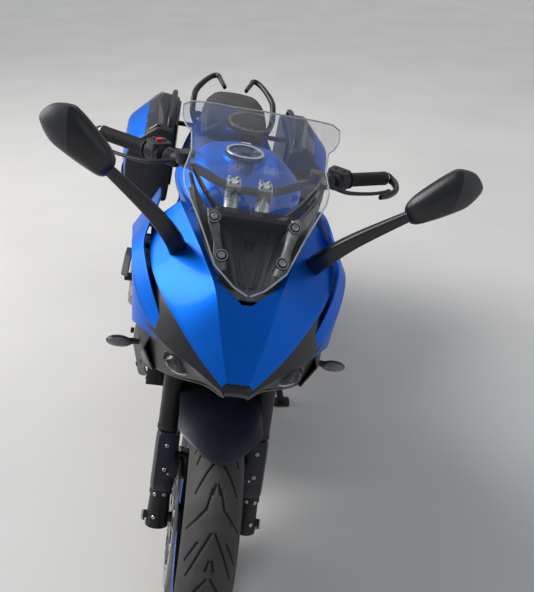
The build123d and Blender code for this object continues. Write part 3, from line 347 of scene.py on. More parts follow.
class Paint:
    """The machine's finishes, in a maker's plain words."""

    BLUE = Finish("metallic_blue_paint", (0.0, 0.14, 0.70), 0.5, 0.92, coat=0.15, flake=0.25, mottle=0.06,
                  patch=0.3, coat_roughness=0.1)
    BLACK_PLASTIC = Finish("grained_black_plastic", (0.017, 0.018, 0.021), 0.52, grain=0.0012, bump=0.25)
    SATIN_PLASTIC = Finish("satin_black_plastic", (0.012, 0.013, 0.016), 0.32, grain=0.004, bump=0.03)
    FENDER = Finish("dark_satin_fender", (0.012, 0.015, 0.026), 0.36, grain=0.003, bump=0.03)
    GREY_PLASTIC = Finish("dark_grey_plastic", (0.045, 0.048, 0.055), 0.5, grain=0.0012, bump=0.25)
    PIANO = Finish("gloss_black_plastic", (0.006, 0.006, 0.007), 0.12, coat=0.6)
    SEAT = Finish("seat_vinyl", (0.021, 0.022, 0.025), 0.55, grain=0.0018, bump=0.5, dust=0.12, mottle=0.2)
    PLATE = Finish("blank_plate", (0.62, 0.61, 0.58), 0.4, coat=0.2, mottle=0.03)
    CASE_PANEL = Finish("case_panel", (0.02, 0.023, 0.028), 0.2, coat=0.4, grain=0.003, bump=0.02)
    # TYRE's groove mask paints shade into the tread's grooves, darkening them nearly to black
    TYRE = Finish("tyre_rubber", (0.055, 0.054, 0.052), 0.8, grain=0.0015, bump=0.3, dust=0.1, mottle=0.15,
                  patch=0.03, mask="groove")
    RUBBER = Finish("moulded_rubber", (0.018, 0.018, 0.018), 0.7, grain=0.001, bump=0.3)
    RIM = Finish("black_rim_enamel", (0.009, 0.009, 0.01), 0.25, 0.2, coat=0.5)
    RIM_STRIPE = Finish("blue_rim_stripe", (0.0, 0.13, 0.75), 0.25, coat=0.6)
    ALLOY_BLACK = Finish("black_coated_alloy", (0.016, 0.016, 0.018), 0.38, 0.3, grain=0.0015, bump=0.12)
    ALLOY = Finish("bare_alloy", (0.62, 0.63, 0.65), 0.28, 1.0, grain=0.002, bump=0.08)
    CHROME = Finish("bright_plated_steel", (0.8, 0.8, 0.82), 0.08, 1.0)
    STEEL = Finish("ground_steel", (0.48, 0.48, 0.5), 0.3, 1.0, grain=0.0012, bump=0.15, brushed=6.0)
    ZINC = Finish("zinc_plated_steel", (0.66, 0.66, 0.64), 0.3, 1.0, mottle=0.1, patch=0.01)
    CHAIN = Finish("oiled_chain_steel", (0.2, 0.19, 0.17), 0.42, 1.0, mottle=0.3, patch=0.01)
    ENGINE = Finish("cast_engine_enamel", (0.03, 0.03, 0.033), 0.48, 0.35, grain=0.0018, bump=0.35)
    EXHAUST = Finish("heat_tinted_steel", (0.34, 0.31, 0.28), 0.3, 1.0, mottle=0.35, patch=0.12, grain=0.003,
                     bump=0.06)
    FIN = Finish("radiator_fin", (0.03, 0.03, 0.03), 0.5, 0.6)
    CLEAR = Finish("clear_lens", (0.42, 0.44, 0.47), 0.03, transmission=1.0, mottle=0.02)
    SCREEN_EDGE = Finish("screen_edge", (0.50, 0.54, 0.56), 0.25, coat=0.3, alpha=0.8, mottle=0.05)
    # CHEEK: its pale grey is a painted highlight, the sunlit look of the screen's brackets; its patchy tone
    # varies at random
    CHEEK = Finish("pale_grey_painted_highlight_plastic", (0.16, 0.165, 0.17), 0.36, 0.3, grain=0.0015, bump=0.2, mottle=0.35,
                   patch=0.02)
    TROUGH = Finish("trough_grey_plastic", (0.07, 0.076, 0.09), 0.46, grain=0.0012, bump=0.3)
    SCREEN = Finish("clear_screen", (0.84, 0.89, 0.92), 0.03, transmission=0.95, alpha=0.17, mottle=0.03,
                    patch=0.4)
    AMBER = Finish("smoked_signal_lens", (0.5, 0.49, 0.47), 0.08, transmission=0.7, coat=0.5)
    RED = Finish("red_lens", (0.55, 0.006, 0.004), 0.1, coat=0.7)
    RED_SWITCH = Finish("red_switch", (0.75, 0.02, 0.05), 0.35)
    MIRROR = Finish("silvered_glass", (0.86, 0.88, 0.9), 0.02, 1.0, mottle=0.01)
    REFLECTOR = Finish("lamp_reflector", (0.16, 0.165, 0.17), 0.2, 1.0)
    LED = Finish("lamp_light_guide", (0.8, 0.82, 0.85), 0.2, coat=0.4)
    DISPLAY = Finish("dark_display_glass", (0.004, 0.005, 0.006), 0.06, coat=1.0)
    WHITE_RING = Finish("pale_cap_ring", (0.62, 0.65, 0.68), 0.25, 0.7)


def as_object(name: str, mesh: Mesh) -> bpy.types.Object:
    """Turn a bmesh into an object of the scene.

    Args:
        name: the object's name.
        mesh: the mesh; it is freed here.

    Returns:
        The linked object.
    """
    data = bpy.data.meshes.new(name)
    mesh.to_mesh(data)
    mesh.free()
    made = bpy.data.objects.new(name, data)
    bpy.context.scene.collection.objects.link(made)
    return made


@dataclass
class Shop:
    """Builds meshes in upright millimetres and sets them on the leaning machine.

    Attributes:
        matrix: from upright millimetres to the row frame in metres.
    """

    matrix: Matrix

    def place(self, name: str, mesh: Mesh, finish: Finish, body: Body, *, slot: str = "",
              replaces: Sequence[str] = (), smooth: float = 35.0,
              extra: Sequence[Finish] = ()) -> bpy.types.Object:
        """Turn a bmesh into a finished piece.

        Args:
            name: the piece's name.
            mesh: its mesh in upright millimetres; it is freed here.
            finish: its main finish.
            body: the CAD body it rides on.
            slot: the record's material slot it stands for; not used.
            replaces: CAD nodes that it stands for.
            smooth: edges flatter than this many degrees are shaded smooth.
            extra: further finishes, for faces with a material index of 1 and up.

        Returns:
            The new object.
        """
        mesh.transform(self.matrix)
        for face in mesh.faces:
            face.smooth = True
        limit = math.radians(smooth)
        for edge in mesh.edges:
            if len(edge.link_faces) == 2 and edge.calc_face_angle(0.0) > limit:
                edge.smooth = False
        piece = as_object(name, mesh)
        for each in (finish, *extra):
            piece.data.materials.append(each.build())
        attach(piece, body.value)
        if replaces:
            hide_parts(*replaces)
        LOG.info("%s: %d faces", name, len(piece.data.polygons))
        return piece


def grid(rows: Rows, wrap: bool = False, cap: bool = False) -> Mesh:
    """Join rows of points into a sheet of quads.

    Args:
        rows: rows of equally many points.
        wrap: join each row's last point to its first.
        cap: close the first and last row with a face.

    Returns:
        The sheet.
    """
    mesh = bmesh.new()
    lines = [[mesh.verts.new(point) for point in row] for row in rows]
    width = len(rows[0])
    for low, high in zip(lines, lines[1:]):
        for i in range(width if wrap else width - 1):
            j = (i + 1) % width
            mesh.faces.new((low[i], low[j], high[j], high[i]))
    if cap:
        mesh.faces.new(list(reversed(lines[0])))
        mesh.faces.new(lines[-1])
    return mesh


def outward(mesh: Mesh) -> Mesh:
    """Point every face of a mesh outward."""
    bmesh.ops.recalc_face_normals(mesh, faces=mesh.faces)
    return mesh


def merge(meshes: Iterable[Mesh]) -> Mesh:
    """Put several meshes into one.

    Args:
        meshes: the meshes; they are freed here.

    Returns:
        The one mesh.
    """
    whole = bmesh.new()
    for part in meshes:
        data = bpy.data.meshes.new("part")
        part.to_mesh(data)
        part.free()
        whole.from_mesh(data)
        bpy.data.meshes.remove(data)
    return whole


def mirrored(mesh: Mesh) -> Mesh:
    """The mirror image of a mesh, with its faces still outward.

    Args:
        mesh: the mesh, which stays as it is.

    Returns:
        A new mesh on the machine's other side.
    """
    twin = mesh.copy()
    for vert in twin.verts:
        vert.co.x = -vert.co.x
    bmesh.ops.reverse_faces(twin, faces=twin.faces)
    return twin


def paired(*meshes: Mesh) -> Mesh:
    """Meshes and their mirror images in one mesh; the meshes are freed."""
    return merge([*(mirrored(mesh) for mesh in meshes), *meshes])


def tint(mesh: Mesh, index: int) -> Mesh:
    """Give every face of a mesh one material index."""
    for face in mesh.faces:
        face.material_index = index
    return mesh


def curve(points: Sequence[Sequence[float]], steps: int) -> list[tuple[float, ...]]:
    """Run a smooth line through points.

    Args:
        points: at least two points of any dimension.
        steps: points made for each stretch between two given ones.

    Returns:
        The finer points, starting and ending at the given ends.
    """
    line = []
    for i in range(len(points) - 1):
        a, b, c, d = (points[max(0, min(len(points) - 1, i + k))] for k in (-1, 0, 1, 2))
        for step in range(steps):
            t = step / steps
            line.append(tuple(
                0.5 * (2 * q + (r - p) * t + (2 * p - 5 * q + 4 * r - s) * t * t
                       + (3 * q - p - 3 * r + s) * t ** 3)
                for p, q, r, s in zip(a, b, c, d)))
    line.append(tuple(points[-1]))
    return line


def smoothed(rows: Rows, along: int, across: int, sharp: Sequence[int] = ()) -> Rows:
    """Refine rows of points both ways by smooth lines.

    Args:
        rows: the coarse rows.
        along: steps between two rows.
        across: steps between two points of a row.
        sharp: points of a row where the surface keeps a crease.

    Returns:
        The finer rows.
    """
    width = len(rows[0])
    columns = [curve([row[i] for row in rows], along) for i in range(width)]
    fine = []
    stops = [0, *sorted(sharp), width - 1]
    for k in range(len(columns[0])):
        row = [column[k] for column in columns]
        line: list[Point] = []
        for start, end in zip(stops, stops[1:]):
            line += curve(row[start:end + 1], across)[:-1]
        fine.append([*line, row[-1]])
    return fine


def shell(rows: Rows, wall: float) -> Mesh:
    """A sheet with a wall thickness, grown to the back of its faces.

    Args:
        rows: rows of points of the outer face.
        wall: thickness in millimetres.

    Returns:
        The closed shell.
    """
    outer = grid(rows)
    outer.normal_update()
    normals = [vert.normal.copy() for vert in outer.verts]
    outer.free()
    width = len(rows[0])
    inner = [[tuple(Vector(p) - normals[r * width + i] * wall) for i, p in enumerate(row)]
             for r, row in enumerate(rows)]
    mesh = merge((grid(rows), grid([list(reversed(row)) for row in inner])))
    mesh.verts.ensure_lookup_table()
    total = len(rows) * width
    tall = len(rows)

    def front(r: int, i: int) -> bmesh.types.BMVert:
        """A point of the outer face."""
        return mesh.verts[r * width + i]

    def back(r: int, i: int) -> bmesh.types.BMVert:
        """The point of the inner face behind it."""
        return mesh.verts[total + r * width + width - 1 - i]

    for i in range(width - 1):
        mesh.faces.new((front(0, i + 1), front(0, i), back(0, i), back(0, i + 1)))
        mesh.faces.new((front(tall - 1, i), front(tall - 1, i + 1), back(tall - 1, i + 1), back(tall - 1, i)))
    for r in range(tall - 1):
        mesh.faces.new((front(r, 0), front(r + 1, 0), back(r + 1, 0), back(r, 0)))
        mesh.faces.new((front(r + 1, width - 1), front(r, width - 1), back(r, width - 1),
                        back(r + 1, width - 1)))
    return outward(mesh)


def tube(points: Sequence[Point], radius: float | Sequence[float], sides: int = 20, flat: float = 1.0,
         steps: int = 1) -> Mesh:
    """A round or flattened bar along a line, closed at both ends.

    Args:
        points: the line's points.
        radius: one radius, or one for each point.
        sides: faces round it.
        flat: height of the section as a share of its width.
        steps: smooth steps between two points; 1 keeps straight runs.

    Returns:
        The bar.
    """
    radii = list(radius) if isinstance(radius, (list, tuple)) else [float(radius)] * len(points)
    line = [(*p, r) for p, r in zip(points, radii)]
    if steps > 1:
        line = curve(line, steps)
    spine = [Vector(p[:3]) for p in line]
    rows: Rows = []
    side = None
    for i, here in enumerate(spine):
        ahead = (spine[min(i + 1, len(spine) - 1)] - spine[max(i - 1, 0)]).normalized()
        if side is None:
            side = ahead.cross(Vector((0, 0, 1)) if abs(ahead.z) < 0.9 else Vector((0, 1, 0))).normalized()
        side = (side - ahead * side.dot(ahead)).normalized()
        up = ahead.cross(side)
        turn = [2 * math.pi * k / sides for k in range(sides)]
        rows.append([tuple(here + (side * math.cos(a) + up * math.sin(a) * flat) * line[i][3]) for a in turn])
    mesh = grid(rows, wrap=True, cap=True)
    return outward(mesh)


def lathe(outline: Sequence[Pair], centre: Point, axis: Vector, sides: int = 48,
          closed: bool = True) -> Mesh:
    """Turn an outline about an axis.

    Args:
        outline: points as (distance along the axis, radius).
        centre: the axis's origin.
        axis: the axis's direction.
        sides: faces round it.
        closed: join the outline's ends, which makes a ring; otherwise its ends lie on the axis.

    Returns:
        The turned mesh.
    """
    way = axis.normalized()
    side = way.orthogonal().normalized()
    up = way.cross(side)
    rows = []
    for k in range(sides):
        a = 2 * math.pi * k / sides
        out = side * math.cos(a) + up * math.sin(a)
        rows.append([tuple(Vector(centre) + way * s + out * max(r, 0.0)) for s, r in outline])
    rows.append(rows[0])
    mesh = grid(rows, wrap=closed)
    bmesh.ops.remove_doubles(mesh, verts=mesh.verts, dist=0.01)
    return outward(mesh)


def slab(outline: Sequence[Pair], low: float, high: float, axis: Axis = Axis.X,
         bevel: float = 0.0, segments: int = 3) -> Mesh:
    """A flat outline drawn out along one axis, with rounded edges.

    Args:
        outline: points of the outline: (y, z) for X and (x, y) for Z.
        low: where it starts on the axis.
        high: where it ends.
        axis: the axis that it is drawn out along.
        bevel: radius of its edges.
        segments: faces round an edge.

    Returns:
        The slab.
    """
    def lift(a: float, b: float, t: float) -> Point:
        """A point of the outline at a place on the axis."""
        return (t, a, b) if axis is Axis.X else (a, b, t)

    mesh = bmesh.new()
    bottom = [mesh.verts.new(lift(a, b, low)) for a, b in outline]
    top = [mesh.verts.new(lift(a, b, high)) for a, b in outline]
    mesh.faces.new(bottom)
    mesh.faces.new(list(reversed(top)))
    for i in range(len(outline)):
        j = (i + 1) % len(outline)
        mesh.faces.new((bottom[i], top[i], top[j], bottom[j]))
    bmesh.ops.recalc_face_normals(mesh, faces=mesh.faces)
    if bevel:
        bmesh.ops.bevel(mesh, geom=list(mesh.edges), offset=bevel, segments=segments, profile=0.5,
                        affect="EDGES", clamp_overlap=True)
    return mesh


def bolt(radius: float, height: float) -> Mesh:
    """A round-headed socket screw, standing on the origin and pointing up Z.

    Args:
        radius: the head's radius.
        height: the head's height.

    Returns:
        The screw's head.
    """
    inner = radius * 0.5
    outline = [(0, radius), (height * 0.75, radius), (height, radius * 0.8), (height, inner),
               (height * 0.45, inner * 0.95), (height * 0.45, 0), (0, 0)]
    return lathe(outline, (0, 0, 0), Vector((0, 0, 1)), 12, closed=False)


@dataclass(frozen=True)
class Studio:
    """The camera at the photograph's viewing angle, a pale floor and soft light.

    Attributes:
        place: the camera's place in the leaned machine's millimetres, before the shift to the row frame.
        yaw_deg: its heading from +Y towards +X.
        pitch_deg: how far it looks down.
        roll_deg: its roll.
        focal_px: its focal length in pixels of the photograph's frame.
        height_px: the photograph's height.
        sensor_mm: height of the camera's sensor.
    """

    place: Point = (143.0, -1829.8, 1612.3)
    yaw_deg: float = 3.41
    pitch_deg: float = 32.09
    roll_deg: float = 0.38
    focal_px: float = 678.75
    height_px: int = 592
    sensor_mm: float = 36.0

    def camera(self, shift: Vector) -> None:
        """Create the camera.

        Args:
            shift: the leaned frame's shift to the row frame, in metres.
        """
        yaw, pitch, roll = (math.radians(a) for a in (self.yaw_deg, self.pitch_deg, self.roll_deg))
        ahead = Vector((math.sin(yaw) * math.cos(pitch), math.cos(yaw) * math.cos(pitch), -math.sin(pitch)))
        level = Vector((math.cos(yaw), -math.sin(yaw), 0))
        lift = level.cross(ahead)
        right = level * math.cos(roll) + lift * math.sin(roll)
        up = lift * math.cos(roll) - level * math.sin(roll)
        data = bpy.data.cameras.new("camera")
        data.sensor_fit = "VERTICAL"
        data.sensor_height = self.sensor_mm
        data.lens = self.focal_px / self.height_px * self.sensor_mm
        data.clip_start = 0.05
        camera = bpy.data.objects.new("camera", data)
        bpy.context.scene.collection.objects.link(camera)
        turn = Matrix((right, up, -ahead)).transposed().to_4x4()
        camera.matrix_world = Matrix.Translation(Vector(self.place) * 0.001 + shift) @ turn
        bpy.context.scene.camera = camera

    def lights(self) -> None:
        """Hang a key, a fill and a rear light under a broad soft sky, in a pale world."""
        table = (
            ("key", (-3.4, 0.9, 2.8), 3.6, 100.0, (1.0, 0.97, 0.93)),
            ("fill", (3.2, -1.6, 2.2), 2.6, 9.0, (0.90, 0.95, 1.0)),
            ("rear", (0.6, 2.6, 3.6), 3.0, 16.0, (1.0, 1.0, 1.0)),
        )
        for name, place, size, power, colour in table:
            data = bpy.data.lights.new(name, "AREA")
            data.shape = "DISK"
            data.size = size
            data.energy = power
            data.color = colour
            lamp = bpy.data.objects.new(name, data)
            bpy.context.scene.collection.objects.link(lamp)
            lamp.location = place
            lamp.rotation_euler = (Vector((0, 0, 0.6)) - Vector(place)).to_track_quat("-Z", "Y").to_euler()
        data = bpy.data.lights.new("sky", "SUN")
        data.angle = math.radians(36)
        data.energy = 1.5
        sky = bpy.data.objects.new("sky", data)
        bpy.context.scene.collection.objects.link(sky)
        sky.rotation_euler = Vector((-0.72, 0.22, 0.66)).to_track_quat("Z", "Y").to_euler()
        world = bpy.data.worlds.new("studio")
        world.use_nodes = True
        back = world.node_tree.nodes["Background"]
        back.inputs["Color"].default_value = (0.86, 0.90, 0.96, 1)
        back.inputs["Strength"].default_value = 0.33
        bpy.context.scene.world = world

    def floor(self) -> None:
        """Lay the plain pale floor."""
        mesh = bmesh.new()
        bmesh.ops.create_circle(mesh, cap_ends=True, segments=96, radius=40)
        floor = as_object("floor", mesh)
        ground = Finish("studio_floor", (0.72, 0.71, 0.69), 0.85, grain=0.01, bump=0.03, mottle=0.03, patch=0.6)
        floor.data.materials.append(ground.build())

    def setup(self, shift: Vector) -> None:
        """Set the whole studio up.

        Args:
            shift: the leaned frame's shift to the row frame, in metres.
        """
        self.camera(shift)
        self.lights()
        self.floor()
        bpy.context.scene.view_settings.view_transform = "Standard"


def cut(mesh: Mesh, cutter: Mesh) -> Mesh:
    """Take one closed mesh away from another.

    Args:
        mesh: the mesh that stays; it is freed here.
        cutter: the mesh that is taken away; it is freed here.

    Returns:
        What is left.
    """
    kept, knife = as_object("kept", mesh), as_object("cutter", cutter)
    step = kept.modifiers.new("cut", "BOOLEAN")
    step.operation = "DIFFERENCE"
    step.solver = "EXACT"
    step.object = knife
    return plain(kept, knife)


def plain(made: bpy.types.Object, *helpers: bpy.types.Object) -> Mesh:
    """Turn an object with modifiers into a plain mesh.

    Args:
        made: the object; it is removed here.
        helpers: objects that its modifiers use; they are removed too.

    Returns:
        The mesh after the modifiers.
    """
    graph = bpy.context.evaluated_depsgraph_get()
    graph.update()
    data = bpy.data.meshes.new_from_object(made.evaluated_get(graph))
    result = bmesh.new()
    result.from_mesh(data)
    bpy.data.meshes.remove(data)
    for each in (made, *helpers):
        bpy.data.meshes.remove(each.data)
    return result


def soften(mesh: Mesh, width: float, segments: int = 2, angle: float = 40.0) -> Mesh:
    """Round a mesh's sharper edges.

    Args:
        mesh: the mesh, changed in place.
        width: width of the rounding in millimetres.
        segments: faces across it.
        angle: edges sharper than this many degrees are rounded.

    Returns:
        The same mesh.
    """
    limit = math.radians(angle)
    edges = [e for e in mesh.edges if len(e.link_faces) == 2 and e.calc_face_angle(0.0) > limit]
    bmesh.ops.bevel(mesh, geom=edges, offset=width, segments=segments, profile=0.5, affect="EDGES",
                    clamp_overlap=True)
    return mesh


def repeated(unit: Mesh, spots: Sequence[tuple[Point, Sequence[float]]], finish: Finish) -> Mesh:
    """Repeat a small mesh at many spots with Geometry Nodes, and hand back the plain mesh.

    Args:
        unit: the mesh, standing on the origin and pointing up Z; it is freed here.
        spots: where each copy stands, and which way it points.
        finish: its finish.

    Returns:
        All the copies as one mesh.
    """
    single = as_object("unit", unit)
    spot_data = bpy.data.meshes.new("spots")
    spot_data.from_pydata([tuple(place) for place, way in spots], [], [])
    turns = spot_data.attributes.new("turn", "FLOAT_VECTOR", "POINT")
    for item, (place, way) in zip(turns.data, spots):
        item.vector = Vector(way).to_track_quat("Z", "Y").to_euler()
    many = bpy.data.objects.new("spots", spot_data)
    bpy.context.scene.collection.objects.link(many)
    tree = bpy.data.node_groups.new("repeat", "GeometryNodeTree")
    tree.interface.new_socket("Geometry", in_out="INPUT", socket_type="NodeSocketGeometry")
    inputs = {name: tree.interface.new_socket(name, in_out="INPUT", socket_type=f"NodeSocket{kind}")
              for name, kind in (("Unit", "Object"), ("Size", "Float"), ("Finish", "Material"))}
    tree.interface.new_socket("Geometry", in_out="OUTPUT", socket_type="NodeSocketGeometry")
    start = tree.nodes.new("NodeGroupInput")
    end = tree.nodes.new("NodeGroupOutput")
    source = tree.nodes.new("GeometryNodeObjectInfo")
    turn = tree.nodes.new("GeometryNodeInputNamedAttribute")
    turn.data_type = "FLOAT_VECTOR"
    turn.inputs["Name"].default_value = "turn"
    euler = tree.nodes.new("FunctionNodeEulerToRotation")
    copies = tree.nodes.new("GeometryNodeInstanceOnPoints")
    real = tree.nodes.new("GeometryNodeRealizeInstances")
    paint = tree.nodes.new("GeometryNodeSetMaterial")
    tree.links.new(start.outputs["Geometry"], copies.inputs["Points"])
    tree.links.new(start.outputs["Unit"], source.inputs["Object"])
    tree.links.new(start.outputs["Size"], copies.inputs["Scale"])
    tree.links.new(start.outputs["Finish"], paint.inputs["Material"])
    tree.links.new(source.outputs["Geometry"], copies.inputs["Instance"])
    tree.links.new(turn.outputs["Attribute"], euler.inputs[0])
    tree.links.new(euler.outputs[0], copies.inputs["Rotation"])
    tree.links.new(copies.outputs[0], real.inputs[0])
    tree.links.new(real.outputs[0], paint.inputs["Geometry"])
    tree.links.new(paint.outputs[0], end.inputs[0])
    step = many.modifiers.new("repeat", "NODES")
    step.node_group = tree
    for name, value in (("Unit", single), ("Size", 1.0), ("Finish", finish.build())):
        step[inputs[name].identifier] = value
    result = plain(many, single)
    bpy.data.node_groups.remove(tree)
    for face in result.faces:
        face.material_index = 0
    return result


def both(points: Sequence[Pair]) -> list[Pair]:
    """A half outline, listed from the middle outward, completed on both sides."""
    return [(-x, z) for x, z in reversed(points) if x] + [tuple(p) for p in points]


def ring(points: Sequence[Pair], steps: int) -> list[Pair]:
    """A smooth closed line through points.

    Args:
        points: the coarse points.
        steps: steps between two of them.

    Returns:
        The finer points.
    """
    count = len(points)
    wide = [points[(i - 2) % count] for i in range(count + 5)]
    line = curve(wide, steps)
    return line[2 * steps:(2 + count) * steps]


def shrunk(points: Sequence[Pair], amount: float) -> list[Pair]:
    """Draw a closed outline in towards its inside.

    Args:
        points: the outline.
        amount: how far each point moves, in millimetres.

    Returns:
        The smaller outline.
    """
    count = len(points)
    area = sum(a[0] * b[1] - b[0] * a[1] for a, b in zip(points, [*points[1:], points[0]]))
    sign = 1 if area > 0 else -1
    inner = []
    for i in range(count):
        dx = points[(i + 1) % count][0] - points[i - 1][0]
        dz = points[(i + 1) % count][1] - points[i - 1][1]
        long = math.hypot(dx, dz) or 1.0
        inner.append((points[i][0] - sign * dz / long * amount, points[i][1] + sign * dx / long * amount))
    return inner


def ball(centre: Point, radii: Point, rings: int = 16, sides: int = 28) -> Mesh:
    """An egg shape with its axes along the machine's.

    Args:
        centre: its middle.
        radii: its radii along X, Y and Z.
        rings: faces from pole to pole.
        sides: faces round it.

    Returns:
        The closed mesh.
    """
    mesh = bmesh.new()
    bmesh.ops.create_uvsphere(mesh, u_segments=sides, v_segments=rings, radius=1)
    for vert in mesh.verts:
        vert.co = Vector(centre) + Vector(a * b for a, b in zip(vert.co, radii))
    return mesh


def rounded(wide: float, high: float, radius: float, steps: int = 5) -> list[Pair]:
    """A rounded rectangle's outline about the origin.

    Args:
        wide: its width.
        high: its height.
        radius: radius of its corners.
        steps: steps round a corner.

    Returns:
        The outline's points.
    """
    radius = min(radius, wide / 2 - 0.01, high / 2 - 0.01)
    points = []
    for sx, sy, start in ((1, 1, 0), (-1, 1, 90), (-1, -1, 180), (1, -1, 270)):
        for k in range(steps + 1):
            a = math.radians(start + 90 * k / steps)
            points.append((sx * (wide / 2 - radius) + radius * math.cos(a),
                           sy * (high / 2 - radius) + radius * math.sin(a)))
    return points


def rows_of(table: Iterable[tuple]) -> Rows:
    """Turn a table of y and (x, z) points into rows of points."""
    return [[(x, y, z) for x, z in points] for y, *points in table]


def between(table: Sequence[Pair], place: float) -> float:
    """Read a table by straight lines between its rows.

    Args:
        table: rows of (place, value), with rising places.
        place: a place within the table.

    Returns:
        The value there.
    """
    low, high = next((a, b) for a, b in zip(table, table[1:]) if place <= b[0] + 0.001)
    return low[1] + (high[1] - low[1]) * ((place - low[0]) / (high[0] - low[0]))


def leaned(angle_deg: float) -> tuple[Vector, Vector]:
    """The upward and forward directions of something that leans back by an angle."""
    angle = math.radians(angle_deg)
    return Vector((0, math.sin(angle), math.cos(angle))), Vector((0, -math.cos(angle), math.sin(angle)))


@dataclass
class Maker:
    """What every group of pieces shares.

    Attributes:
        shop: where its pieces are placed.
    """

    shop: Shop

    def build(self) -> None:
        """Make the group's pieces."""
        raise NotImplementedError

    def many(self, name: str, unit: Mesh, spots: Sequence[tuple[Point, Sequence[float]]], finish: Finish,
             body: Body) -> None:
        """Place a small mesh at many spots, as one piece.

        Args:
            name: the piece's name.
            unit: the mesh, standing on the origin and pointing up Z; it is freed here.
            spots: seat and direction of each.
            finish: their finish.
            body: the body they ride on.
        """
        self.shop.place(name, repeated(unit, spots, finish), finish, body)

    def bolts(self, name: str, spots: Sequence[tuple[Point, Sequence[float]]], radius: float, height: float,
              finish: Finish, body: Body) -> None:
        """Set socket screws at many spots.

        Args:
            name: the piece's name.
            spots: seat and direction of each.
            radius: the head's radius.
            height: the head's height.
            finish: their finish.
            body: the body they ride on.
        """
        self.many(name, bolt(radius, height), spots, finish, body)


